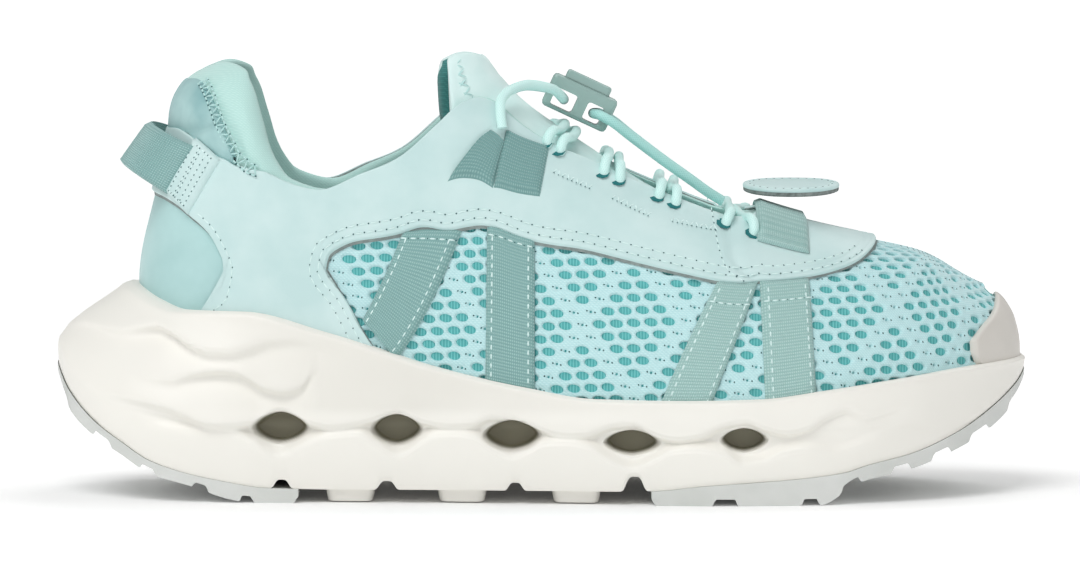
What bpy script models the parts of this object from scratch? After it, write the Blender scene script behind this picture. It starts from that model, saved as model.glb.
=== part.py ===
"""Right water shoe, standing empty on its sole: a hollow upper on its last, a sculpted foam midsole with
tread plates, leather overlays, webbing straps and an elastic lace with a cord lock.
The toe points to +X, the outer side of the foot to -Y, and the floor is Z = 0."""
import math

import bmesh
import bpy
import numpy as np
from mathutils import Matrix, Vector

MM = 0.001
MERGE = 1e-6
ROUNDING = 1e-9

# Sizes of the last, in millimetres
LAST_LENGTH = 262.8
BALL_WIDTH = 94.0
CROWN_HEIGHT = 132.0
HEEL_X = -120.2

# Sizes of the sole, in millimetres
SOLE_HEIGHT = 63.0
HEEL_LIP = 25.2
TOE_LIP = 2.7
SIDE_FLARE = 8.0
RIM = 3.6
LUG_DEPTH = 2.0
LUG_FLANK = 0.8
LUG_ROOT = 1.5
POCKET_DEPTH = 9.0
POCKET_HEIGHT = 8.6
POCKET_LIP = 1.5
POCKET_OVERRUN = 4.0

# Walls and layers, in millimetres
WALL = 2.2
COLLAR_PAD = 2.6
TONGUE_THICKNESS = 3.2
INSOLE_THICKNESS = 4.0
OVERLAY_THICKNESS = 1.2
STRAP_THICKNESS = 1.4
CAP_THICKNESS = 1.6
WEBBING_WIDTH = 15.0
CORD_DIAMETER = 3.0

# Gaps between neighbours, in millimetres
GAP = 0.3
LAYER_GAP = 0.6
SECOND_LAYER = LAYER_GAP + OVERLAY_THICKNESS + LAYER_GAP
TONGUE_GAP = 1.1
INSOLE_GAP = 0.8
LACE_GAP = 1.0

# Counts of the faces, the angle from which an edge counts as sharp and the room round the throat's stations
STATION_COUNT = 42
UPPER_ROWS = 8
LINING_ROWS = 6
RECESS_ROWS = 1
BED_SPANS = 2
SHARP_ANGLE = 40.0
STATION_ROOM = 0.012

# Length of the cord's straight pieces over its diameter
CORD_STEP = 1.5

# The last along its length, from the heel (0) to the toe (1). swing is the middle line's step to the
# inner side and half the half width, as shares of BALL_WIDTH; bed is the foot bed's height and rim the
# sole's upper edge, as shares of SOLE_HEIGHT; crown is the top line, as a share of CROWN_HEIGHT; round is
# the power of the section's arch, lower for squarer; flare is a share of SIDE_FLARE.
LAST_COLUMNS = ("along", "swing", "half", "bed", "rim", "crown", "round", "flare")
LAST_ROWS = (
    (0.00, 0.000, 0.350, 0.580, 1.000, 1.210, 0.42, 1.00),
    (0.03, 0.000, 0.350, 0.578, 0.935, 1.210, 0.42, 1.00),
    (0.06, 0.000, 0.350, 0.575, 0.895, 1.210, 0.42, 1.00),
    (0.13, -0.004, 0.352, 0.560, 0.892, 1.200, 0.42, 1.00),
    (0.22, -0.018, 0.350, 0.535, 0.798, 1.190, 0.44, 0.95),
    (0.35, -0.034, 0.358, 0.490, 0.628, 1.085, 0.50, 0.88),
    (0.44, -0.030, 0.388, 0.462, 0.544, 0.900, 0.60, 0.80),
    (0.52, -0.020, 0.428, 0.438, 0.492, 0.800, 0.66, 0.70),
    (0.60, -0.008, 0.470, 0.420, 0.488, 0.722, 0.68, 0.64),
    (0.70, 0.000, 0.500, 0.412, 0.498, 0.636, 0.68, 0.60),
    (0.77, 0.008, 0.492, 0.420, 0.535, 0.594, 0.66, 0.56),
    (0.86, 0.028, 0.462, 0.460, 0.585, 0.555, 0.62, 0.52),
    (0.94, 0.054, 0.420, 0.520, 0.625, 0.520, 0.58, 0.46),
    (1.00, 0.080, 0.390, 0.580, 0.640, 0.462, 0.55, 0.40),
)

# How far each end of the plan is rounded off, as shares of LAST_LENGTH, and how square the round is
HEEL_ROUND = 0.17
TOE_ROUND = 0.24
PLAN_POWER = 2.2

# The back of the heel: height as a share of CROWN_HEIGHT, lean to the front as a share of LAST_LENGTH
HEEL_BACK = (
    (0.00, 0.012), (0.30, 0.002), (0.47, 0.000), (0.67, 0.018), (0.82, 0.036),
    (0.885, 0.044), (0.935, 0.056), (0.968, 0.074), (1.10, 0.100),
)
HEEL_FADE = 0.30

# The front of the toe, in the same shares, leaning back
TOE_FRONT = ((0.00, 0.000), (0.33, 0.003), (0.39, 0.009), (0.43, 0.020), (0.46, 0.034), (0.60, 0.060))
TOE_FADE = 0.14

# The top edge of the collar and throat: height as a share of the crown's height above the foot line.
# The throat closes in a round end where the share reaches 1.
THROAT_END = 0.70
THROAT_STATIONS = (0.930, 0.957, 0.978, 0.991, 1.0)
EDGE = (
    (0.000, 0.740), (0.015, 0.750), (0.042, 0.737), (0.060, 0.720), (0.082, 0.686), (0.099, 0.636),
    (0.117, 0.570), (0.132, 0.530), (0.156, 0.489), (0.203, 0.470), (0.259, 0.527), (0.296, 0.582),
    (0.342, 0.710), (0.372, 0.812), (0.396, 0.878), (0.415, 0.900), (0.466, 0.905), (0.524, 0.922),
    (0.585, 0.922), (0.652, 0.928), (0.680, 0.952), (0.693, 0.978), (0.700, 1.000),
)

# Where the collar's padding ends along the last and how long it takes to fade, and the share of the section
# where it starts with the share over which it grows
COLLAR_PAD_END = 0.31
COLLAR_PAD_FADE = 0.10
COLLAR_PAD_START = 0.45
COLLAR_PAD_GROWTH = 0.35

# The side of the sole from the parting line (0) to the rim (1): shares of HEEL_LIP and of the flare
SIDE_COLUMNS = ("up", "heel", "side")
SIDE_ROWS = ((0.00, 0.985, 0.80), (0.25, 1.00, 1.00), (0.60, 0.62, 0.72), (0.82, 0.28, 0.30), (1.00, 0.0, 0.0))

# Underside of the midsole and tread of the plates: along the sole, height as a share of SOLE_HEIGHT
PARTING = (
    (0.000, 0.620), (0.015, 0.500), (0.042, 0.370), (0.072, 0.275), (0.10, 0.195), (0.135, 0.142),
    (0.175, 0.102), (0.221, 0.070), (0.29, 0.064), (0.57, 0.064), (0.613, 0.068), (0.663, 0.092),
    (0.758, 0.124), (0.806, 0.150), (0.83, 0.182), (0.878, 0.232), (0.925, 0.318), (0.96, 0.415),
    (0.99, 0.525), (1.000, 0.580),
)
TREAD = (
    (0.000, 0.570), (0.015, 0.415), (0.042, 0.300), (0.072, 0.215), (0.10, 0.135), (0.145, 0.075),
    (0.18, 0.020), (0.205, 0.000), (0.78, 0.000), (0.823, 0.105), (0.878, 0.160), (0.925, 0.240),
    (0.96, 0.325), (0.99, 0.450), (1.000, 0.535),
)

# The two tread plates, as start and end shares of the sole's length, with extra stations where the plan turns
HEEL_PLATE = (0.0, 0.2525)
FOREFOOT_PLATE = (0.611, 1.0)
TURN_STATIONS = (0.004, 0.992, 0.997)

# The plates' recess between lugs is never deeper than this share of their thickness
RECESS_SHARE = 0.45

# Lugs along the sole, as start and end shares of its length
HEEL_LUGS = ((0.012, 0.045), (0.058, 0.094), (0.104, 0.148), (0.158, 0.196), (0.204, 0.252))
MIDFOOT_LUGS = ((0.279, 0.331), (0.393, 0.445), (0.509, 0.561))
FOREFOOT_LUGS = (
    (0.611, 0.676), (0.695, 0.766), (0.778, 0.806), (0.820, 0.858), (0.872, 0.900), (0.914, 0.940), (0.955, 0.982),
)

# Lanes of the plates' lugs, from the outer edge (-1) to the inner edge (1), and of the midfoot lugs (0 to 1);
# then how much the midfoot lugs narrow to the ground, as shares of the sole's width and of their own length
LUG_LANES = ((-1.0, -0.36), (-0.28, 0.28), (0.36, 1.0))
LANE_FLANK = 0.02
MIDFOOT_LANES = ((0.02, 0.46), (0.54, 0.98))
MIDFOOT_NARROWING = 0.01
MIDFOOT_TAPER = 0.93

# Blind pockets in the side of the midsole: along the sole, height over SOLE_HEIGHT, half length over
# LAST_LENGTH, half height over POCKET_HEIGHT
POCKETS = (
    (0.235, 0.346, 0.0297, 0.52), (0.353, 0.340, 0.0262, 0.50), (0.470, 0.318, 0.0308, 0.50),
    (0.590, 0.292, 0.0297, 0.42), (0.705, 0.290, 0.0251, 0.39),
)

# A pocket's mouth is read at this share of the sole's side; its cutter is wider outside and narrower at its
# floor by these shares, and its upper and lower lines rise to a point by this power
POCKET_UP = 0.3
POCKET_MOUTH = 1.15
POCKET_FLOOR = 0.62
POCKET_POINT = 1.25
POCKET_SIDES = 12

# The tongue from its hidden front end (0) to its top (1)
TONGUE_COLUMNS = ("up", "middle", "edge", "rise")
TONGUE_ROWS = (
    (0.00, 0.760, 0.760, 0.62), (0.35, 0.640, 0.640, 0.58), (0.65, 0.520, 0.510, 0.54),
    (0.85, 0.435, 0.352, 0.51), (1.00, 0.385, 0.345, 0.73),
)
TONGUE_BEND = 1.6

# The leather saddle from the middle of the heel to the middle of the vamp: its lower border and its upper
# border, each as a place along the last and a share up the side wall, and how far the line between the two
# bows to the front. It runs above the heel counter, down to the sole behind the window and forward along
# the eyestay to close in front of the throat.
SADDLE_ROWS = (
    (0.000, 0.410, 0.000, 0.930, 0.000), (0.030, 0.402, 0.012, 0.922, 0.000),
    (0.058, 0.375, 0.029, 0.905, 0.000), (0.083, 0.318, 0.045, 0.875, 0.002),
    (0.0955, 0.210, 0.058, 0.830, 0.006), (0.089, 0.090, 0.067, 0.795, 0.024),
    (0.070, 0.025, 0.075, 0.775, 0.037), (0.105, 0.025, 0.083, 0.760, 0.028),
    (0.150, 0.025, 0.093, 0.750, 0.016), (0.200, 0.025, 0.105, 0.790, 0.006),
    (0.245, 0.025, 0.120, 0.860, 0.000), (0.262, 0.050, 0.136, 0.930, 0.000),
    (0.239, 0.235, 0.152, 0.985, 0.000), (0.217, 0.408, 0.180, 0.985, 0.000),
    (0.220, 0.514, 0.205, 0.985, 0.000), (0.248, 0.590, 0.245, 0.985, 0.000),
    (0.313, 0.604, 0.300, 0.985, 0.000), (0.365, 0.530, 0.355, 0.985, 0.000),
    (0.435, 0.562, 0.435, 0.985, 0.000), (0.506, 0.612, 0.506, 0.985, 0.000),
    (0.576, 0.626, 0.576, 0.985, 0.000), (0.661, 0.636, 0.655, 0.985, 0.000),
    (0.700, 0.640, 0.683, 0.985, 0.000), (0.762, 0.715, 0.697, 0.988, 0.000),
    (0.810, 0.840, 0.703, 0.992, 0.000), (0.830, 0.955, 0.706, 0.997, 0.000),
    (0.835, 1.000, 0.707, 1.000, 0.000),
)
SADDLE_HEEL_STEPS = (0.0, 0.04, 0.13, 0.30, 0.60)

# The heel counter below it: along the last, lower border and upper border
COUNTER_ROWS = (
    (0.000, 0.025, 0.380), (0.030, 0.025, 0.370), (0.050, 0.025, 0.342), (0.064, 0.080, 0.312),
    (0.076, 0.130, 0.262), (0.084, 0.170, 0.220),
)

# The rubber bumper over the toe: along the last, lower border and upper border
CAP_ROWS = (
    (0.9435, 0.120, 0.235), (0.951, 0.030, 0.300), (0.962, 0.030, 0.400), (0.973, 0.030, 0.500),
    (0.985, 0.030, 0.630), (0.995, 0.030, 0.780), (1.000, 0.030, 0.855),
)

# Webbing on the side wall: the two top corners and the two bottom corners, each along and up
STRAPS = {
    "strap_{}_1": ((0.304, 0.575), (0.370, 0.495), (0.264, 0.130), (0.290, 0.030)),
    "strap_{}_2": ((0.397, 0.505), (0.450, 0.550), (0.395, 0.030), (0.450, 0.030)),
    "strap_{}_3": ((0.655, 0.610), (0.692, 0.610), (0.592, 0.030), (0.646, 0.030)),
    "strap_{}_4": ((0.701, 0.612), (0.754, 0.675), (0.707, 0.030), (0.763, 0.030)),
}
COLLAR_LOOPS = {
    "collar_loop_{}_rear": ((0.402, 0.870), (0.4145, 0.855), (0.354, 0.720), (0.401, 0.675)),
    "collar_loop_{}_front": ((0.419, 0.910), (0.466, 0.950), (0.405, 0.680), (0.456, 0.750)),
}
HEEL_TABS = {"heel_tab_{}": ((0.042, 0.645), (0.075, 0.647), (0.022, 0.432), (0.050, 0.400))}
SIDE_NAMES = {-1: "outer", 1: "inner"}

# The webbing loop over the vamp, in front of the throat
KEEPER_ALONG = 0.697
KEEPER_RISE = 0.64

# The heel's pull loop: where its two ends leave the heel tabs (along, up), and the top and bottom of its
# farthest point, as x from the heel in millimetres and height as a share of CROWN_HEIGHT
PULL_ROOT = ((0.040, 0.645), (0.020, 0.432))
PULL_BACK = ((3.6, 0.838), (-5.0, 0.747))
PULL_THICKNESS = 1.6

# The cord's front tab: an oval that lies level over the keeper loop
TAB_LENGTH = 29.0
TAB_WIDTH = 17.0
TAB_THICKNESS = 2.4
TAB_CENTRE = 0.742
TAB_TILT = 4.0
TAB_SECTION = ((0.0, 0.0), (0.93, 0.0), (1.0, 0.3), (1.0, 0.8), (0.94, 1.0), (0.0, 1.0))
TAB_SQUARENESS = 0.85

# The cord lock: a flat body with two windows, and a button that slides into a well in its upper edge. Its
# centre sits at a share of the last's length, this far over the crown.
LOCK_ALONG = 0.5008
LOCK_OVER_CROWN = 8.0
LOCK_TILT = 25.0
LOCK_LENGTH = 21.0
LOCK_HEIGHT = 10.4
LOCK_WIDTH = 9.0
LOCK_BEVEL = 1.2
BUTTON_LENGTH = 14.4
BUTTON_WIDTH = 5.6
BUTTON_PROUD = 2.7
BUTTON_SEAT = 0.6
BUTTON_TRAVEL = 2.0
BUTTON_BEVEL = 0.8
WINDOW_HEIGHT = 5.6
WINDOW_FLOOR = 1.1
WINDOW_BEVEL = 0.8
WINDOWS = ((-4.6, 7.0), (5.0, 5.2))

# The elastic cord: crossings over the tongue (along, rise signed by side), and the free runs in millimetres
# from the lock's centre
CROSSINGS = (
    (0.482, -0.86), (0.492, 0.00), (0.502, 0.86), (0.532, 0.84), (0.542, 0.00), (0.552, -0.86),
    (0.592, -0.85), (0.604, 0.00), (0.616, 0.86), (0.646, 0.88), (0.652, 0.00), (0.658, -0.88),
)
CORD_LOOP = (
    (-23.4, -31.6, -2.6), (-23.6, -30.2, 0.6), (-21.0, -24.5, 4.4), (-15.4, -17.0, 6.0),
    (-8.2, -10.0, 4.4), (-5.2, -5.6, 1.6), (-4.7, 0.0, 0.8), (-5.2, 5.6, 1.6), (-8.2, 10.0, 4.4),
    (-15.4, 17.0, 6.0), (-21.0, 21.5, 4.4), (-23.6, 25.2, 0.6), (-23.4, 26.4, -2.6),
)
CORD_TAIL = (
    (48.0, -2.6, -26.8), (41.6, -3.0, -24.0), (33.6, -3.6, -20.2), (24.6, -4.6, -15.2), (15.6, -6.0, -9.4),
    (9.1, -7.4, -5.2), (5.4, -5.8, -3.4), (4.0, 0.0, -3.3), (5.4, 5.8, -3.4), (9.1, 7.4, -5.2),
    (15.6, 6.0, -9.4), (24.6, 4.6, -15.2), (33.6, 3.6, -20.2), (41.6, 3.0, -24.0), (48.0, 2.6, -26.8),
)

FINISHES = {
    "mesh": ("#BFE6E8", 0.85),
    "leather": ("#BFE0E0", 0.55),
    "counter": ("#AFD3D3", 0.6),
    "webbing": ("#93B9B7", 0.8),
    "lining": ("#3F8F8C", 0.9),
    "foam": ("#F0EEE6", 0.6),
    "rubber": ("#C8CAC7", 0.7),
    "bumper": ("#CFCBC4", 0.6),
    "cord": ("#C6F0EA", 0.7),
    "plastic": ("#A5BDB7", 0.45),
}


def smooth(at, places, values):
    """Cubic through each (place, value), which never swings past a neighbouring value."""
    places = np.asarray(places, float)
    values = np.asarray(values, float)
    step = np.diff(places)
    slope = np.diff(values) / step
    product = slope[:-1] * slope[1:]
    total = np.where(product > 0, slope[:-1] + slope[1:], 1.0)
    inner = np.where(product > 0, 2 * product / total, 0.0)
    tangent = np.concatenate([slope[:1], inner, slope[-1:]])
    at = np.asarray(at, float)
    span = np.clip(np.searchsorted(places, at, "right") - 1, 0, len(step) - 1)
    t = np.clip((at - places[span]) / step[span], 0, 1)
    rise = values[span + 1] - values[span]
    start = tangent[span] * step[span]
    end = tangent[span + 1] * step[span]
    return values[span] + t * start + t * t * (3 * rise - 2 * start - end) + t**3 * (start + end - 2 * rise)


def column(table, name, columns, at):
    """One named column of a table, read smoothly at a place along its first column."""
    rows = np.array(table)
    return smooth(at, rows[:, 0], rows[:, columns.index(name)])


def last_column(name, along):
    return column(LAST_ROWS, name, LAST_COLUMNS, along)


def pairs(table, at):
    rows = np.array(table)
    return smooth(at, rows[:, 0], rows[:, 1])


def ends(along):
    """Share of the half width that the rounded heel and toe leave."""
    heel = np.clip(1 - along / HEEL_ROUND, 0, 1)
    toe = np.clip(1 - (1 - along) / TOE_ROUND, 0, 1)
    heel_share = np.clip(1 - heel**PLAN_POWER, 0, 1) ** (1 / PLAN_POWER)
    toe_share = np.clip(1 - toe**PLAN_POWER, 0, 1) ** (1 / PLAN_POWER)
    return heel_share * toe_share


def ease(share):
    share = np.clip(share, 0, 1)
    return share * share * (3 - 2 * share)


def lean(along, height):
    """How far the heel's back leans to the front and the toe's front to the back, at a height."""
    share = height / CROWN_HEIGHT
    heel = LAST_LENGTH * pairs(HEEL_BACK, share) * (1 - ease(along / HEEL_FADE))
    toe = LAST_LENGTH * pairs(TOE_FRONT, share) * ease(1 - (1 - along) / TOE_FADE)
    return heel - toe


def bed(along):
    return SOLE_HEIGHT * last_column("bed", along)


def rim(along):
    return SOLE_HEIGHT * last_column("rim", along)


def foot(along):
    return bed(along) + GAP


def crown(along, out=0.0):
    return CROWN_HEIGHT * last_column("crown", along) + out


def edge(along):
    """Height of the collar and throat edge; the crown itself past the throat's end."""
    return foot(along) + (crown(along) - foot(along)) * pairs(EDGE, along)


def rise_at(along, height):
    """Angle share (0 foot line, 1 crown) at which the section reaches a height."""
    share = (height - foot(along)) / (crown(along) - foot(along))
    share = np.where(share > 1 - ROUNDING, 1.0, share)
    return np.arcsin(np.clip(share, 0, 1)) * 2 / math.pi


def last(along, rise, side, out=0.0):
    """Point of the upper's outer face, moved out by `out`. Each section is an arch: the half width times a
    power of the angle's cosine, and the crown's height times its sine. side is -1 outer, 1 inner."""
    angle = np.clip(rise, 0, 1) * math.pi / 2
    half = (BALL_WIDTH * last_column("half", along) + out) * ends(along)
    wide = np.clip(np.cos(angle), 0, 1) ** last_column("round", along)
    z = foot(along) + (crown(along, out) - foot(along)) * np.sin(angle)
    x = HEEL_X - out + (LAST_LENGTH + 2 * out) * along + lean(along, z)
    y = BALL_WIDTH * last_column("swing", along) + side * half * wide
    return np.stack(np.broadcast_arrays(x, y, z), axis=-1)


def on_side(along, up, side, out=0.0):
    """Point of the side wall between the sole's rim (up 0) and the top edge (up 1)."""
    height = rim(along) + (edge(along) - rim(along)) * up
    return last(along, rise_at(along, height), side, out)


def sole_side(along, up, side):
    """Point of the sole's side between the parting line (up 0) and the rim (up 1). The flare falls to the
    rim's own thickness at the top and the heel's lip runs out behind the upper."""
    heel_out = RIM + (HEEL_LIP - RIM) * column(SIDE_ROWS, "heel", SIDE_COLUMNS, up)
    flare = RIM + (SIDE_FLARE * last_column("flare", along) - RIM) * column(SIDE_ROWS, "side", SIDE_COLUMNS, up)
    x = HEEL_X - heel_out + (LAST_LENGTH + heel_out + TOE_LIP) * along
    half = (BALL_WIDTH * last_column("half", along) + flare) * ends(along)
    y = BALL_WIDTH * last_column("swing", along) + side * half
    low = SOLE_HEIGHT * pairs(PARTING, along)
    z = low + (rim(along) - low) * up
    return np.stack(np.broadcast_arrays(x, y, z), axis=-1)


def stations(count=STATION_COUNT):
    """Places along the last, closer at both ends and where the throat closes."""
    along = (1 - np.cos(np.linspace(0, math.pi, count + 1))) / 2
    closing = THROAT_END * np.array(THROAT_STATIONS)
    along = along[(along < closing[0] - STATION_ROOM) | (along > closing[-1] + STATION_ROOM)]
    return np.sort(np.concatenate([along, closing]))


def round_the_shoe(outer_side, inner_side):
    """Joins two sides, heel to toe each, into one run: toe, outer side, heel, inner side, toe."""
    return np.concatenate([outer_side[::-1], inner_side[1:]])


def across(outer_side, inner_side, shares):
    """Points between the two sides, station by station."""
    shares = np.asarray(shares)[None, :, None]
    return outer_side[:, None] * (1 - shares) + inner_side[:, None] * shares


class Skin:
    """Collects grids of points in millimetres into one closed mesh; points that coincide become one."""

    def __init__(self):
        self.points = []
        self.faces = []
        self.count = 0

    def grid(self, points, keep=None):
        rows, columns = points.shape[:2]
        index = self.count + np.arange(rows * columns).reshape(rows, columns)
        faces = np.stack([index[:-1, :-1], index[1:, :-1], index[1:, 1:], index[:-1, 1:]], axis=-1)
        faces = faces[keep] if keep is not None else faces.reshape(-1, 4)
        self.points.append(points.reshape(-1, 3))
        self.faces.append(faces.reshape(-1, 4))
        self.count += rows * columns

    def slab(self, face, back, wrapped=False):
        """Two grids as the faces of one sheet, with strips along its borders."""
        self.grid(face)
        self.grid(back)
        self.grid(np.stack([face[:, 0], back[:, 0]], axis=1))
        self.grid(np.stack([face[:, -1], back[:, -1]], axis=1))
        if not wrapped:
            self.grid(np.stack([face[0], back[0]], axis=1))
            self.grid(np.stack([face[-1], back[-1]], axis=1))

    def mesh(self, name):
        mesh = bpy.data.meshes.new(name)
        points = np.concatenate(self.points) * MM
        mesh.from_pydata(points.tolist(), [], np.concatenate(self.faces).tolist())
        work = bmesh.new()
        work.from_mesh(mesh)
        bmesh.ops.remove_doubles(work, verts=work.verts, dist=MERGE)
        bmesh.ops.dissolve_degenerate(work, edges=work.edges, dist=MERGE)
        bmesh.ops.recalc_face_normals(work, faces=work.faces)
        work.to_mesh(mesh)
        work.free()
        return mesh


def linear(hex_colour):
    """Linear colour of an sRGB hex value."""
    parts = [int(hex_colour[i : i + 2], 16) / 255 for i in (1, 3, 5)]
    return [c / 12.92 if c <= 0.04045 else ((c + 0.055) / 1.055) ** 2.4 for c in parts] + [1.0]


def finish(obj, kind):
    """Gives an object its own material."""
    hex_colour, roughness = FINISHES[kind]
    material = bpy.data.materials.new(f"{obj.name}_{kind}")
    material.use_nodes = True
    shader = material.node_tree.nodes["Principled BSDF"]
    shader.inputs["Base Color"].default_value = linear(hex_colour)
    shader.inputs["Roughness"].default_value = roughness
    shader.inputs["Metallic"].default_value = 0.0
    material.diffuse_color = linear(hex_colour)
    obj.data.materials.clear()
    obj.data.materials.append(material)


def place(name, mesh, kind=None):
    """Puts a mesh into the scene as one named piece."""
    obj = bpy.data.objects.new(name, mesh)
    bpy.context.scene.collection.objects.link(obj)
    if kind:
        mesh.shade_smooth()
        mesh.set_sharp_from_angle(angle=math.radians(SHARP_ANGLE))
        finish(obj, kind)
    return obj


def cutter(name, mesh):
    obj = place(name, mesh)
    obj.hide_render = True
    obj.display_type = "WIRE"
    return obj


def boolean(obj, other, operation):
    change = obj.modifiers.new(f"{operation.lower()}_{other.name}", "BOOLEAN")
    change.operation = operation
    change.object = other
    change.solver = "EXACT"


def upper():
    """One hollow shell: outer face, inner face a wall inside it, foot rim and collar edge."""
    along = stations()
    faces = []
    for rows, wall, pad in ((UPPER_ROWS, 0.0, 0.0), (LINING_ROWS, WALL, COLLAR_PAD)):
        share = np.linspace(0, 1, rows + 1)
        rise = rise_at(along, edge(along))[:, None] * share
        padded = ease((COLLAR_PAD_END - along) / COLLAR_PAD_FADE)[:, None]
        padded = padded * ease((share - COLLAR_PAD_START) / COLLAR_PAD_GROWTH)
        sides = [last(along[:, None], rise, side, -wall - pad * padded) for side in (-1, 1)]
        faces.append(round_the_shoe(*sides))
    outer, inner = faces
    skin = Skin()
    skin.grid(outer)
    skin.grid(inner)
    skin.grid(np.stack([outer[:, 0], inner[:, 0]], axis=1))
    around = np.concatenate([along[::-1], along[1:]])
    is_open = np.maximum(around[:-1], around[1:]) <= THROAT_END
    skin.grid(np.stack([outer[:, -1], inner[:, -1]], axis=1), keep=is_open[:, None])
    return place("upper", skin.mesh("upper"), "mesh")


def pocket_cutters():
    """Tapered, pointed ovals that run into both sides of the midsole."""
    turn = np.linspace(0, 2 * math.pi, POCKET_SIDES + 1)
    section = ((-POCKET_OVERRUN, POCKET_MOUTH), (POCKET_LIP, 1.0), (POCKET_DEPTH, POCKET_FLOOR))
    skin = Skin()
    for along, height, half_length, half_height in POCKETS:
        for side in (-1, 1):
            face = sole_side(along, POCKET_UP, side)
            rings = []
            for into, size in section:
                x = face[0] + LAST_LENGTH * half_length * size * np.cos(turn)
                pointed = np.sign(np.sin(turn)) * abs(np.sin(turn)) ** POCKET_POINT
                z = SOLE_HEIGHT * height + POCKET_HEIGHT * half_height * size * pointed
                y = np.full_like(x, face[1] - side * into)
                rings.append(np.stack([x, y, z], axis=-1))
            centres = [np.tile(ring.mean(0), (POCKET_SIDES + 1, 1)) for ring in (rings[0], rings[-1])]
            skin.grid(np.stack([centres[0], *rings, centres[1]], axis=1))
    return cutter("pocket_cutters", skin.mesh("pocket_cutters"))


def midfoot_lugs():
    """White lugs that grow out of the midsole's underside between the two plates."""
    skin = Skin()
    for start, end in MIDFOOT_LUGS:
        along = np.linspace(start, end, 4)
        for left, right in MIDFOOT_LANES:
            sides = [sole_side(along, 0.0, side) for side in (-1, 1)]
            top = across(*sides, (left, right))
            bottom = across(*sides, (left + MIDFOOT_NARROWING, right - MIDFOOT_NARROWING))
            middle = top[..., 0].mean()
            top[..., 2] += LUG_ROOT
            bottom[..., 2] = GAP
            bottom[..., 0] = middle + (top[..., 0] - middle) * MIDFOOT_TAPER
            skin.slab(top, bottom)
    return cutter("midfoot_lugs", skin.mesh("midfoot_lugs"))


def midsole():
    """Foam cup: sculpted side, rim, recess that follows the upper and the foot bed."""
    along = stations()
    ups = np.array([row[0] for row in SIDE_ROWS])
    side_rows = [sole_side(along[:, None], ups, side) for side in (-1, 1)]
    rim_rise = rise_at(along, rim(along))[:, None]
    recess_rise = rim_rise * np.linspace(1, 0, RECESS_ROWS + 1)
    recess_rows = [last(along[:, None], recess_rise, side, GAP) for side in (-1, 1)]
    for rows in recess_rows:
        rows[:, -1, 2] = bed(along)
    wall = round_the_shoe(*[np.concatenate([a, b], axis=1) for a, b in zip(side_rows, recess_rows)])
    skin = Skin()
    skin.grid(wall)
    spans = np.linspace(0, 1, BED_SPANS + 1)
    skin.grid(across(side_rows[0][:, 0], side_rows[1][:, 0], spans))
    skin.grid(across(recess_rows[0][:, -1], recess_rows[1][:, -1], spans))
    obj = place("midsole", skin.mesh("midsole"), "foam")
    boolean(obj, midfoot_lugs(), "UNION")
    boolean(obj, pocket_cutters(), "DIFFERENCE")
    return obj


def tread_plate(name, plate, lugs):
    """Rubber plate under the midsole, with lugs along it in three lanes."""
    start, end = plate
    marks = {start, end, *TURN_STATIONS}
    flank = LUG_FLANK / LAST_LENGTH
    for lug_start, lug_end in lugs:
        marks |= {lug_start, lug_start + flank, lug_end - flank, lug_end}
    along = np.array(sorted(mark for mark in marks if start <= mark <= end))
    lanes = sorted({p for a, b in LUG_LANES for p in (a, a + LANE_FLANK, b - LANE_FLANK, b)})
    lanes = np.array([p for p in lanes if p not in (LANE_FLANK - 1.0, 1.0 - LANE_FLANK)])
    sides = [sole_side(along, 0.0, side) for side in (-1, 1)]
    top = across(*sides, (lanes + 1) / 2)
    slope = np.gradient(top[:, 0, 2], top[:, 0, 0])
    bottom = top.copy()
    top[..., 2] -= (GAP * np.hypot(1, slope))[:, None]
    on_lug = [(along >= a + flank - ROUNDING) & (along <= b - flank + ROUNDING) for a, b in lugs]
    after_start = [(lanes >= a + LANE_FLANK) | ((a == -1.0) & (lanes == a)) for a, b in LUG_LANES]
    before_end = [(lanes <= b - LANE_FLANK) | ((b == 1.0) & (lanes == b)) for a, b in LUG_LANES]
    in_lane = [first & last_one for first, last_one in zip(after_start, before_end)]
    raised = np.any(on_lug, axis=0)[:, None] & np.any(in_lane, axis=0)
    tread = SOLE_HEIGHT * pairs(TREAD, along)[:, None]
    deepest = RECESS_SHARE * (top[..., 2] - tread)
    bottom[..., 2] = tread + np.minimum(LUG_DEPTH, deepest) * (1 - raised)
    skin = Skin()
    skin.slab(top, bottom)
    return place(name, skin.mesh(name), "rubber")


def insole():
    """Sockliner on the foot bed, inside the upper's foot rim."""
    along = stations(STATION_COUNT // 2)
    out = -WALL - INSOLE_GAP
    sides = [last(along, 0.0, side, out) for side in (-1, 1)]
    face = across(*sides, np.linspace(0, 1, 3))
    back = face.copy()
    back[..., 2] = foot(along)[:, None]
    face[..., 2] = back[..., 2] + INSOLE_THICKNESS
    skin = Skin()
    skin.slab(face, back)
    return place("insole", skin.mesh("insole"), "lining")


def tongue():
    """Padded sheet under the throat: it follows the last inside the upper's wall and rises to its top."""
    up = np.linspace(0, 1, 17)[:, None]
    share = np.linspace(-1, 1, 9)
    middle, low_edge, low_rise = [column(TONGUE_ROWS, name, TONGUE_COLUMNS, up) for name in TONGUE_COLUMNS[1:]]
    along = middle - (middle - low_edge) * abs(share) ** TONGUE_BEND
    rise = 1 - (1 - low_rise) * abs(share)
    side = np.sign(share)
    out = -WALL - TONGUE_GAP
    face = last(along, rise, side, out)
    back = last(along, rise, side, out - TONGUE_THICKNESS)
    skin = Skin()
    skin.slab(face, back)
    return place("tongue", skin.mesh("tongue"), "leather")


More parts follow.
